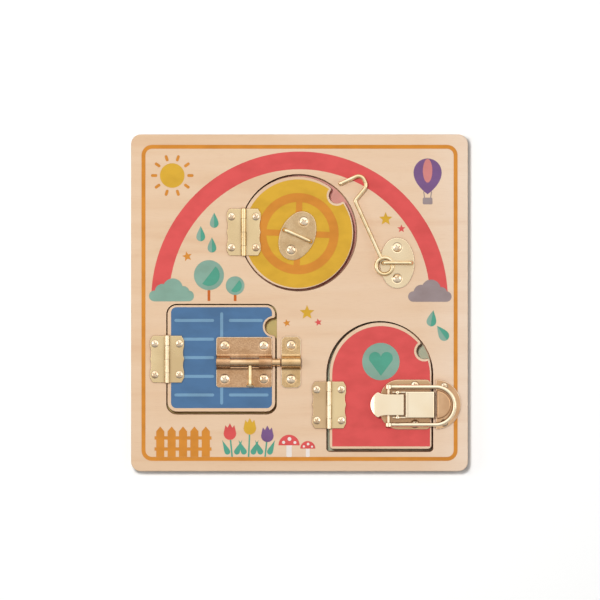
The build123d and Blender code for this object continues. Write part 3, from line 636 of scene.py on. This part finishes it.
def bar(x, y, length, width, corner, turn=0.0, steps=5):
    """A strip with rounded corners, its middle at x, y"""
    clear_selection()
    bpy.ops.mesh.primitive_plane_add(size=MM)
    piece = bpy.context.object
    bpy.ops.object.mode_set(mode="EDIT")
    bpy.ops.transform.resize(value=(length, width, 1.0), center_override=(0, 0, 0))
    if corner > 0:
        limit = min(corner, almost_half * min(length, width))
        bpy.ops.mesh.bevel(offset=limit * MM, segments=steps, affect="VERTICES")
    return put(piece, x, y, turn)


trial = bar(0, 0, 10, 4, 1)
print("a trial strip has", len(trial.data.vertices), "points")
bpy.data.objects.remove(trial)

# %% Drops and stars
def drop(x, y, radius, reach, turn=0.0):
    """A leaf or a raindrop: a disc with one point drawn out, the rest following"""
    piece = disc(0, 0, radius, 32)
    select_points(piece, lambda px, py: py > radius - on_line)
    bpy.ops.transform.translate(
        value=(0.0, (reach - radius) * MM, 0.0),
        use_proportional_edit=True,
        proportional_edit_falloff="SHARP",
        proportional_size=1.5 * radius * MM,
    )
    return put(piece, x, y, turn)


def star(x, y, radius, points=5, depth=0.45, turn=0.0):
    """A star: a ring of points, every second one drawn in"""
    piece = disc(0, 0, radius, 2 * points)
    half_step = math.pi / points

    def is_inner(px, py):
        step = round((math.atan2(px, py) % (2 * math.pi)) / half_step)
        return step % 2 == 1

    select_points(piece, is_inner)
    bpy.ops.transform.resize(value=(depth, depth, 1.0), center_override=(0, 0, 0))
    return put(piece, x, y, turn)


trial = star(0, 0, 5)
print("a trial star has", len(trial.data.vertices), "points")
bpy.data.objects.remove(trial)

# %% [markdown]
# ## How a print is laid on
# A print is a very thin layer. A flat shape is extruded to a layer that stands 0.04 mm
# proud of the wood and reaches 0.03 mm into it, so that it has no loose edge and no
# second face at the wood's own height. A layer printed over another one stands a little
# higher. Shapes of one ink are united into one closed mesh, as they come off one screen.
# The Boolean modifier does the uniting and cutting: it is exact, and it copes with shapes
# that share a plane. A finger notch bites a disc out of a door's print.

# %% Helpers for layers
ink_sink = 0.03
ink_layer = 0.04


def thicken(piece, low, high):
    """Turn a flat shape at height zero into a closed layer between two heights"""
    clear_selection()
    bpy.context.view_layer.objects.active = piece
    piece.select_set(True)
    edit_all()
    bpy.ops.transform.translate(value=(0, 0, low * MM))
    lift = (0, 0, (high - low) * MM)
    bpy.ops.mesh.extrude_region_move(TRANSFORM_OT_translate={"value": lift})
    bpy.ops.mesh.select_all(action="SELECT")
    bpy.ops.mesh.normals_make_consistent(inside=False)
    bpy.ops.object.mode_set(mode="OBJECT")
    return piece


def combine(piece, other, operation):
    """Unite or cut a closed piece with another one, which is used up"""
    cutter = piece.modifiers.new("combine", "BOOLEAN")
    cutter.object = other
    cutter.operation = operation
    cutter.solver = "EXACT"
    clear_selection()
    bpy.context.view_layer.objects.active = piece
    bpy.ops.object.modifier_apply(modifier="combine")
    bpy.data.objects.remove(other)
    return piece


def press(name, ink, shapes, ground, layer=1, bites=()):
    """Print flat shapes in one ink; ground is the body, the wood, which is not used, and the
    height
    """
    body, wood, height = ground
    low = height - ink_sink
    high = height + layer * ink_layer
    solids = [thicken(shape, low, high) for shape in shapes]
    printed = solids[0]
    for other in solids[1:]:
        printed = combine(printed, other, "UNION")
    for x, y, radius in bites:
        cut = thicken(disc(x, y, radius), low - ink_layer, high + ink_layer)
        printed = combine(printed, cut, "DIFFERENCE")
    printed.name = name
    printed.data.name = name
    printed.data.materials.clear()
    printed.data.materials.append(inks[ink])
    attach(printed, body)
    print(name, "has", len(shapes), "shapes and", len(printed.data.polygons), "faces")
    return printed


print("a layer is", ink_layer, "mm thick")

# %% [markdown]
# ## The doors' colours
# Each door is printed up to a narrow rim of bare wood, and the print keeps the same rim
# around the finger notch. The round hatch is yellow with an orange ring and spokes, as on
# a cart wheel. Its parts are a disc, a band and two strips. The screen was a little out
# of line with this door, so its print lies turned and off the middle.

# %% The round hatch
notch_inset = 1.2


def round_notch(x, y, radius, angle, bite):
    """What a finger notch bites out of the print at the rim of a round door"""
    reach = radius - notch_inset
    turn = math.radians(angle)
    return (x + reach * math.cos(turn), y + reach * math.sin(turn), bite)


round_low, round_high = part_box("round_door")
round_x = (round_low.x + round_high.x) / 2 / MM
round_y = (round_low.y + round_high.y) / 2 / MM
round_radius = (round_high.x - round_low.x) / 2 / MM
round_rim = 1.4
print_x = round_x + 0.7
print_y = round_y - 0.6
print_turn = -2.4
wheel_radius, wheel_width = (27.1, 5.9)
spoke_length, spoke_width = (44.0, 4.1)
round_ground = ("round_hatch", "round_door_wood", face_height)
notch = round_notch(round_x, round_y, round_radius, 43, 6.8)
field = [disc(print_x, print_y, round_radius - round_rim, smooth_sides)]
press("round_hatch_yellow", "yellow", field, round_ground, 1, [notch])
wheel = [ring(print_x, print_y, wheel_radius, wheel_width)]
for turn in (0, 90):
    wheel.append(bar(print_x, print_y, spoke_length, spoke_width, 0.0, print_turn + turn))
press("round_hatch_wheel", "orange", wheel, round_ground, 2)

# %% [markdown]
# The square shutter is blue with light lines, like boards with a ledge down the middle.
# The lines are strips with rounded ends, and the one beside the finger notch is shorter.

# %% The shutter
shutter_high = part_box("shutter_door")[1]
shutter_x, shutter_y, shutter_side, shutter_corner = (-52.1, -36.6, 67.4, 3.5)
shutter_notch_drop, shutter_notch_radius = (14.5, 7.1)
line_width, line_round = (2.0, 1.0)
line_rows = (-11.75, -24.25, -36.55, -49.1, -61.5)
line_length, line_by_notch = (26.5, 22.6)
left_middle, right_start = (-70.3, -47.2)
ledge_shift, ledge_y, ledge_length = (0.1, -37.1, 61.6)
shutter_ground = ("shutter", "shutter_door_wood", face_height)
notch_x = shutter_high.x / MM - notch_inset
notch_y = shutter_high.y / MM - shutter_notch_drop
notch = (notch_x, notch_y, shutter_notch_radius)
field = [bar(shutter_x, shutter_y, shutter_side, shutter_side, shutter_corner)]
press("shutter_blue", "blue", field, shutter_ground, 1, [notch])
lines = [bar(shutter_x + ledge_shift, ledge_y, ledge_length, line_width, line_round, 90)]
for row in line_rows:
    lines.append(bar(left_middle, row, line_length, line_width, line_round))
    reach = line_by_notch if row == line_rows[0] else line_length
    lines.append(bar(right_start + reach / 2, row, reach, line_width, line_round))
press("shutter_lines", "light_blue", lines, shutter_ground, 2)

# %% [markdown]
# The arched door is coral with a teal roundel and a heart. Its field starts as a disc,
# loses its lower half to a bisect cut, and the cut edge is drawn down to the foot. The
# heart is two petals that lean together. A petal is a disc whose lower points are merged
# and drawn down to a tip, so that its sides run straight.

# %% Arches and hearts
petal_overlap = 1.02


def arch_field(x, spring, radius, foot):
    """A half disc whose straight edge is extruded down to the foot"""
    piece = halve(disc(0, 0, radius, smooth_sides), (0, 1))
    select_points(piece, lambda px, py: py < on_line)
    bpy.ops.mesh.select_mode(type="EDGE")
    down = (0, (foot - spring) * MM, 0)
    bpy.ops.mesh.extrude_region_move(TRANSFORM_OT_translate={"value": down})
    return put(piece, x, spring)


def petal(radius, reach):
    """A disc whose points below its tangents from the tip are all drawn to that tip"""
    piece = disc(0, 0, radius, 96)
    select_points(piece, lambda px, py: py < -radius * radius / reach)
    bpy.ops.mesh.merge(type="CENTER")
    bpy.ops.object.mode_set(mode="OBJECT")
    lowest = min(vertex.co.y for vertex in piece.data.vertices) / MM
    select_points(piece, lambda px, py: py < lowest + on_line)
    bpy.ops.transform.translate(value=(0, -(reach + lowest) * MM, 0))
    return piece


def heart(x, y, width, height):
    """Two petals side by side, leaning together until their tips meet"""
    radius = width / 4
    depth = height - radius
    reach = math.hypot(radius, depth)
    lean = math.degrees(math.atan2(radius, depth))
    lift = y - height / 2 + depth
    return [
        put(petal(radius * petal_overlap, reach), x + side * radius, lift, side * -lean)
        for side in (-1, 1)
    ]


trial = put(petal(4, 12), 0, 0)
print("a trial petal has", len(trial.data.vertices), "points")
bpy.data.objects.remove(trial)

# %% The arched door
arch_low, arch_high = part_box("arched_door")
arch_x = (arch_low.x + arch_high.x) / 2 / MM
arch_half = (arch_high.x - arch_low.x) / 2 / MM
arch_spring = arch_high.y / MM - arch_half
field_left, field_right = (21.8, 87.1)
field_radius = (field_right - field_left) / 2
field_x = (field_right + field_left) / 2
top_rim, foot_rim = (2.4, 1.7)
field_spring = arch_high.y / MM - top_rim - field_radius
field_foot = arch_low.y / MM + foot_rim
roundel_x, roundel_y, roundel_radius = (54.3, -39.2, 12.5)
emblem_y, emblem_width, emblem_height = (-40.8, 15.7, 15.8)
arch_ground = ("arched_hatch", "arched_door_wood", face_height)
notch = round_notch(arch_x, arch_spring, arch_half, 27, 6.9)
field = [arch_field(field_x, field_spring, field_radius, field_foot)]
press("arched_door_coral", "coral", field, arch_ground, 1, [notch])
roundel = [disc(roundel_x, roundel_y, roundel_radius)]
press("arched_door_roundel", "pale_teal", roundel, arch_ground, 2)
emblem = heart(roundel_x, emblem_y, emblem_width, emblem_height)
press("arched_door_heart", "deep_teal", emblem, arch_ground, 3)

# %% [markdown]
# ## The board's own print
# The picture on the board is a generic one of this lesson's own: a coral rainbow over the
# doors inside a thin orange frame, with a sun, a balloon, clouds, trees, a fence, tulips,
# toadstools, raindrops and stars. All of it is built from the flat shapes above. What
# each ink prints is gathered in one list, and pressed once. What overlaps another ink
# goes in a second or a third table, to be pressed one layer higher.

# %% Rainbow, frame and sun
board_inks = {name: [] for name in inks}
over_inks = {name: [] for name in inks}
top_inks = {name: [] for name in inks}

rainbow_y, rainbow_radius, rainbow_width = (2.0, 99.0, 11.8)
rainbow = halve(ring(0, 0, rainbow_radius, rainbow_width, smooth_sides), (0, 1))
board_inks["coral"].append(put(rainbow, 0, rainbow_y))
frame_half, frame_width, frame_corner = (105.5, 2.6, 7.0)
thin_frame = bar(0, 0, 2 * frame_half, 2 * frame_half, frame_corner, steps=8)
board_inks["orange"].append(put(hollow(thin_frame, frame_width), 0, 0))

sun_x, sun_y, sun_radius = (-85.0, 85.0, 8.2)
ray_count, ray_gap, ray_length, ray_width, ray_round = (10, 3.9, 4.2, 1.9, 0.9)
board_inks["yellow"].append(disc(sun_x, sun_y, sun_radius))
for number in range(ray_count):
    turn = 360 * number / ray_count
    reach = sun_radius + ray_gap
    x = sun_x + reach * math.cos(math.radians(turn))
    y = sun_y + reach * math.sin(math.radians(turn))
    board_inks["orange"].append(bar(x, y, ray_length, ray_width, ray_round, turn))
print("a rainbow, a frame and a sun with", ray_count, "rays")

# %% The balloon
balloon_x, balloon_y, balloon_radius, balloon_reach = (85.5, 87.0, 9.4, 14.5)
stripe_up, stripe_radius, stripe_wide = (1.2, 7.9, 0.40)
basket_drop, basket_length, basket_width, basket_round = (19.0, 6.4, 4.4, 0.8)
rope_drop, rope_out, rope_length, rope_width, rope_lean = (14.9, 2.3, 4.6, 0.6, 8)
bag = drop(balloon_x, balloon_y, balloon_radius, balloon_reach, 180)
board_inks["purple"].append(bag)
stripe = disc(balloon_x, balloon_y + stripe_up, stripe_radius, wide=stripe_wide)
over_inks["pink"].append(stripe)
basket_y = balloon_y - basket_drop
basket = bar(balloon_x, basket_y, basket_length, basket_width, basket_round)
over_inks["grey"].append(basket)
for side in (-1, 1):
    rope_x = balloon_x + side * rope_out
    rope_y = balloon_y - rope_drop
    rope = bar(rope_x, rope_y, rope_length, rope_width, 0.0, 90 - side * rope_lean)
    over_inks["grey"].append(rope)
print("a balloon with a basket on two ropes")

# %% [markdown]
# Clouds are three discs on a strip, united when the ink is pressed. Trees are a disc on a
# trunk, with a darker half over one side. Raindrops fall from the cloud, two-tone like
# the leaves of a plain nursery print.

# %% Clouds, raindrops and trees
cloud_strip, cloud_round = (0.24, 0.12)
cloud_puffs = ((-0.20, 0.10, 0.17), (0.03, 0.17, 0.22), (0.26, 0.08, 0.14))
trunk_width = 1.8
dark_crown_share, dark_side = (0.72, (0.8, -0.6))


def cloud(x, y, size):
    """The shapes of a cloud, size being its length"""
    shapes = [bar(x, y, size, cloud_strip * size, cloud_round * size)]
    for across, up, puff in cloud_puffs:
        shapes.append(disc(x + across * size, y + up * size, puff * size, 32))
    return shapes


def two_tone_drop(x, y, radius, reach, turn):
    """A pale drop with its right half printed darker"""
    board_inks["pale_teal"].append(drop(x, y, radius, reach, turn))
    half = halve(drop(0, 0, radius, reach), (1, 0))
    over_inks["deep_teal"].append(put(half, x, y, turn))


def tree(x, foot, crown_y, crown):
    """A trunk from the foot up, a round crown and its darker side"""
    height = crown_y - foot
    board_inks["rust"].append(bar(x, (foot + crown_y) / 2, height, trunk_width, 0.0, 90))
    over_inks["pale_teal"].append(disc(x, crown_y, crown))
    half = halve(disc(0, 0, dark_crown_share * crown), dark_side)
    top_inks["deep_teal"].append(put(half, x, crown_y))


over_inks["pale_teal"] += cloud(-85.5, 4.6, 30)
over_inks["grey"] += cloud(87.0, 4.2, 29)
for x, y in ((-57.0, 53.0), (-66.0, 44.0), (-58.5, 36.5)):
    two_tone_drop(x, y, 2.9, 7.2, 0)
two_tone_drop(96.5, -22.0, 3.4, 8.2, 35)
two_tone_drop(88.0, -12.5, 3.2, 7.6, -10)
tree(-60.5, 1.2, 18.5, 10.0)
tree(-43.0, 1.2, 11.5, 6.2)
print("two clouds, five drops and two trees")

# %% [markdown]
# The lower edge is a garden: a picket fence from strips with pointed ends, tulips whose
# flowers are discs with their upper points pulled into three tips, and toadstools, which
# are half discs with pale spots.

# %% The fence
garden_y = -102.8
fence_x, fence_step, picket_count = (-93.0, 7.6, 5)
picket_height, picket_width, tip_share = (17.0, 5.4, 0.6)
rail_length, rail_width, rail_heights = (38.0, 2.2, (5.2, 12.6))


def picket(x, foot, height, width):
    """A strip whose upper edge is drawn to a point"""
    piece = bar(0, 0, width, height, 0.0)
    edit_all()
    bpy.ops.mesh.subdivide(number_cuts=1)
    select_points(piece, lambda px, py: py > height / 2 - on_line and abs(px) < on_line)
    bpy.ops.transform.translate(value=(0, tip_share * width * MM, 0))
    return put(piece, x, foot + height / 2)


for number in range(picket_count):
    x = fence_x + number * fence_step
    board_inks["orange"].append(picket(x, garden_y, picket_height, picket_width))
for rail in rail_heights:
    middle = fence_x + 2 * fence_step
    board_inks["orange"].append(bar(middle, garden_y + rail, rail_length, rail_width, 0.0))
print("a fence of", picket_count, "pickets")

# %% Tulips, toadstools and stars
flower_radius, flower_side, flower_middle, flower_rise = (4.2, 2.5, 0.4, 2.6)
stem_width = 1.0
leaf_out, leaf_up, leaf_radius, leaf_reach, leaf_lean = (3.2, 3.4, 1.9, 8.5, 24)
stalk_up, stalk_high, stalk_wide, stalk_round = (0.30, 0.62, 0.26, 0.6)
cap_up, cap_radius = (0.55, 0.5)
cap_spots = ((-0.26, 0.14, 0.075), (0.02, 0.30, 0.09), (0.28, 0.13, 0.07))


def is_petal_tip(px, py):
    """The top point of a tulip's disc, and its upper points to the left and right"""
    return py > flower_side and (abs(px) < flower_middle or abs(px) > flower_side)


def tulip(x, foot, height, ink, lean=0.0):
    """A flower on a leaning stem between two leaves"""
    flower = disc(0, 0, flower_radius, 16)
    select_points(flower, is_petal_tip)
    bpy.ops.transform.translate(value=(0, flower_rise * MM, 0))
    over_inks[ink].append(put(flower, x + lean, foot + height))
    tilt = 90 - math.degrees(math.atan2(lean, height))
    stem = bar(x + lean / 2, foot + height / 2, height, stem_width, 0.0, tilt)
    board_inks["deep_teal"].append(stem)
    for side in (-1, 1):
        leaf_x = x + side * leaf_out
        leaf = drop(leaf_x, foot + leaf_up, leaf_radius, leaf_reach, -side * leaf_lean)
        board_inks["deep_teal"].append(leaf)


def toadstool(x, foot, size):
    """A pale stalk and a half round cap with spots, size being the cap's width"""
    middle = foot + stalk_up * size
    stalk = bar(x, middle, stalk_high * size, stalk_wide * size, stalk_round, 90)
    board_inks["cream"].append(stalk)
    cap = halve(disc(0, 0, cap_radius * size), (0, 1))
    over_inks["coral"].append(put(cap, x, foot + cap_up * size))
    for across, up, spot in cap_spots:
        spot_y = foot + (cap_up + up) * size
        top_inks["cream"].append(disc(x + across * size, spot_y, spot * size, 24))


tulip(-45.0, garden_y, 15.5, "coral", -1.5)
tulip(-34.0, garden_y, 19.0, "yellow", 0.8)
tulip(-23.0, garden_y, 14.0, "purple", 1.5)
toadstool(-7.0, garden_y, 14.0)
toadstool(5.5, garden_y, 10.0)
stars = [
    (57.5, 56.0, 4.6, "yellow", 0), (68.0, 49.5, 2.8, "coral", 0),
    (5.0, -6.5, 5.0, "yellow", 0), (-75.0, 31.0, 3.4, "orange", 12),
    (12.5, -13.0, 2.6, "coral", 12), (-8.5, -13.5, 2.6, "orange", 12),
]
for x, y, size, ink, turn in stars:
    board_inks[ink].append(star(x, y, size, turn=turn))
print("3 tulips, 2 toadstools and", len(stars), "stars")

# %% [markdown]
# Now the screens are pressed, colour after colour, and what overlaps another ink stands
# one layer higher.

# %% Press the board's print
front_ground = ("board", "front_wood", face_height)
for layer, table in enumerate((board_inks, over_inks, top_inks), start=1):
    for ink, shapes in table.items():
        if shapes:
            press(f"board_print_{layer}_{ink}", ink, shapes, front_ground, layer)

# %% [markdown]
# ## Behind the doors
# The back panel is printed where a door opens on it: a plain field of colour a little
# smaller than the opening, with one simple shape for a child to find. Only a sliver of
# it shows in the finger notches while the doors are shut. The flower's five petals stop
# short of its middle, which is printed one layer higher.

# %% The hidden prints
back_ground = ("board", "back_wood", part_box("back_panel")[1].z / MM)

hole_x, hole_y = (-0.7, 46.8)
press("behind_round_pink", "pale_pink", [disc(hole_x, hole_y, 38.5, 96)], back_ground)
press("behind_round_star", "cream", [star(hole_x, hole_y, 20.0, turn=6)], back_ground, 2)

hole_x, hole_y = (-52.0, -37.6)
field = [bar(hole_x, hole_y, 73.4, 73.4, 6.6)]
press("behind_shutter_olive", "olive", field, back_ground)
petal_count, petal_out, petal_radius, middle_radius = (5, 10.5, 8.0, 5.5)
petals = []
for number in range(petal_count):
    turn = math.radians(90 + 360 / petal_count * number)
    x = hole_x + petal_out * math.cos(turn)
    y = hole_y + petal_out * math.sin(turn)
    petals.append(disc(x, y, petal_radius))
press("behind_shutter_petals", "yellow", petals, back_ground, 2)
middle = [disc(hole_x, hole_y, middle_radius)]
press("behind_shutter_middle", "orange", middle, back_ground, 3)

hole_x, hole_y = (53.5, -47.8)
press("behind_arch_sage", "sage", [arch_field(hole_x, hole_y, 35.1, -99.0)], back_ground)
press("behind_arch_heart", "coral", heart(hole_x, hole_y - 8.5, 26.0, 26.0), back_ground, 2)

# %% [markdown]
# ## The floor
# The board lies on a white sheet, 0.05 mm under it, so that the two share no plane. The
# sheet keeps the board's shadow, and to the camera and to reflections it also glows, so
# that it reads as pure white, and more so far out. Along the right and lower sides a
# shadow is painted on as well: the glow is weaker over a strip of 4 mm, and a painted
# brown shade lies close to the board. The strip follows from distances that are taken
# from a point 2 mm to the right of the middle and 2 mm below it.

# %% Rays that see the glow
def seen_directly(tree):
    """1 for rays from the camera and for reflections and transmissions, else 0"""
    rays = add_node(tree, "ShaderNodeLightPath").outputs
    links = {0: rays["Is Camera Ray"], 1: rays["Is Glossy Ray"]}
    first = add_node(tree, "ShaderNodeMath", links, operation="MAXIMUM")
    links = {0: first, 1: rays["Is Transmission Ray"]}
    return add_node(tree, "ShaderNodeMath", links, operation="MAXIMUM")


print("the camera, reflections and transmissions see the glow")

# %% The white floor
floor_size = 6.0
floor_drop = 0.05
paper_tone = "#F8F8F7"
paper_roughness = 0.9
glow_in_painted_shadow, glow_far_out = (0.03, 0.17)
glow_yonder, yonder_span = (0.6, (0.25, 1.5))
shade_shift, shade_width = (2.0, 4.0)
shade_strength, shade_reach = (0.8, 6.0)
shade_tint, shade_span = ("#7A6A5E", (0.4, 0.85))

clear_selection()
bpy.ops.mesh.primitive_plane_add(size=floor_size)
floor = bpy.context.object
floor.name = "floor"
floor.location.z = -floor_drop * MM
floor_finish, tree, shader, place = begin_material("white_paper_floor")
spot = add_node(tree, "ShaderNodeSeparateXYZ", {"Vector": place.outputs["Object"]})
links = {0: spot.outputs["X"], 1: shade_shift * MM}
across = add_node(tree, "ShaderNodeMath", links, operation="SUBTRACT")
links = {0: spot.outputs["Y"], 1: shade_shift * MM}
along = add_node(tree, "ShaderNodeMath", links, operation="ADD")
away_x, away_y = [
    add_node(tree, "ShaderNodeMath", {0: axis}, operation="ABSOLUTE")
    for axis in (across, along)
]
farther = add_node(tree, "ShaderNodeMath", {0: away_x, 1: away_y}, operation="MAXIMUM")
# The painted shadow: over this strip the glow dips and a brown shade is painted in.
strip_start = cad_high.x - shade_shift * MM
strip_end = strip_start + shade_width * MM
strip = {"Value": farther, "From Min": strip_start, "From Max": strip_end}
links = {**strip, "To Min": shade_strength, "To Max": 0.0}
shade_share = add_node(tree, "ShaderNodeMapRange", links)
links = {**strip, "To Min": glow_in_painted_shadow, "To Max": glow_far_out}
painted_shadow_glow = add_node(tree, "ShaderNodeMapRange", links)
links = {"Value": farther, "From Min": yonder_span[0], "From Max": yonder_span[1]}
links["To Max"] = glow_yonder
yonder = add_node(tree, "ShaderNodeMapRange", links)
level = add_node(tree, "ShaderNodeMath", {0: painted_shadow_glow, 1: yonder}, operation="ADD")
links = {0: seen_directly(tree), 1: level}
glow = add_node(tree, "ShaderNodeMath", links, operation="MULTIPLY")
paper, _ = painted_narrow_shade(tree, linear(paper_tone), shade_reach, shade_share, shade_tint, shade_span)
fill(tree, shader, {"Base Color": paper, "Roughness": paper_roughness})
fill(tree, shader, {"Specular IOR Level": 0.0, "Emission Color": linear("#FFFFFF")})
fill(tree, shader, {"Emission Strength": glow})
floor.data.materials.append(floor_finish)
print("floor glow", glow_in_painted_shadow, "to", glow_far_out)

# %% [markdown]
# ## The room
# An even sky lights the board. Polished metal shows the room instead, which is what gives
# it form: white overhead, dimmer towards the floor and on the near side, and brighter on
# the far side. Two curves hold the room's level, one by height and one from the near side
# to the far side. They are drawn as shares of the brightest level and multiplied. The
# camera itself sees plain white.

# %% Room and sky
sky_level = 0.30
brightest = 1.6
by_height = [(0.0, 0.32), (0.2, 0.48), (0.5, 0.95), (0.8, 1.02), (0.94, 0.97), (1.0, 0.97)]
by_side = [(0.10, 0.45), (0.46, 1.0), (0.56, 1.0), (0.70, 1.55), (1.0, 1.55)]

world = bpy.data.worlds.new("soft_sky")
bpy.context.scene.world = world
world.use_nodes = True
tree = world.node_tree
sky = tree.nodes["Background"]
toward = add_node(tree, "ShaderNodeTexCoord").outputs["Generated"]
axes = add_node(tree, "ShaderNodeSeparateXYZ", {"Vector": toward})
links = {0: axes.outputs["Y"], 1: 0.5, 2: 0.5}
near_to_far = add_node(tree, "ShaderNodeMath", links, operation="MULTIPLY_ADD")
curves = []
for along, levels in ((axes.outputs["Z"], by_height), (near_to_far, by_side)):
    curve = add_node(tree, "ShaderNodeFloatCurve", {"Value": along})
    points = curve.mapping.curves[0].points
    while len(points) < len(levels):
        points.new(0.5, 0.5)
    for point, (position, level) in zip(points, levels):
        point.location = (position, level / brightest)
        point.handle_type = "VECTOR"
    curve.mapping.update()
    curves.append(curve)
room = add_node(tree, "ShaderNodeMath", {0: curves[0], 1: curves[1]}, operation="MULTIPLY")
room = add_node(tree, "ShaderNodeMath", {0: room, 1: brightest ** 2}, operation="MULTIPLY")
camera_ray = add_node(tree, "ShaderNodeLightPath").outputs["Is Camera Ray"]
shown = add_node(tree, "ShaderNodeMix", {"Factor": camera_ray, "A": room, "B": 1.0})
links = {"Value": seen_directly(tree), "To Min": sky_level, "To Max": shown}
strength = add_node(tree, "ShaderNodeMapRange", links)
fill(tree, sky, {"Color": linear("#FFFFFF"), "Strength": strength})
print("sky level", sky_level, "and room up to", brightest)

# %% [markdown]
# ## Lamps
# The light is one soft lamp nearly overhead, a little to the upper left, which gives the
# thin shadow along the right and lower edges. Polished metal would mirror it as a glare,
# so reflections don't see it. They see two large soft boxes instead, left and right, which
# draw the light lines on the rods.

# %% Lamps
def area_lamp(name, place, size, level, mirrored=True):
    """A square lamp aimed at the board; level is how light it makes a white sheet there"""
    lamp = bpy.data.lights.new(name, "AREA")
    lamp.shape = "SQUARE"
    lamp.size = size
    lamp.energy = level * math.pi ** 2 * (place[0] ** 2 + place[1] ** 2 + place[2] ** 2)
    holder = bpy.data.objects.new(name, lamp)
    bpy.context.scene.collection.objects.link(holder)
    holder.location = place
    toward = -holder.location
    holder.rotation_euler = toward.to_track_quat("-Z", "Y").to_euler()
    holder.visible_glossy = mirrored
    return holder


area_lamp("key_lamp", (-0.17, 0.19, 1.30), 0.16, 0.58, mirrored=False)
area_lamp("left_soft_box", (-1.00, 0.05, 0.95), 0.60, 0.09)
area_lamp("right_soft_box", (1.05, 0.10, 0.90), 0.60, 0.08)
print("a key lamp and two soft boxes")

# %% [markdown]
# ## Camera
# The camera looks straight down through a long lens, as for a page of a catalogue, so
# that nothing leans. Its distance follows from how much of the floor is to be in view.

# %% Camera
view_width = 400.6
view_x, view_y = (0.3, 1.9)
lens = 200.0
camera_data = bpy.data.cameras.new("overhead_camera")
camera_data.lens = lens
camera_data.sensor_width = 36.0
camera = bpy.data.objects.new("overhead_camera", camera_data)
bpy.context.scene.collection.objects.link(camera)
distance = view_width * MM * lens / camera_data.sensor_width
camera.location = (view_x * MM, view_y * MM, face_height * MM + distance)
bpy.context.scene.camera = camera
bpy.context.scene.view_settings.view_transform = "Standard"
print("camera", round(distance, 3), "m above the board")
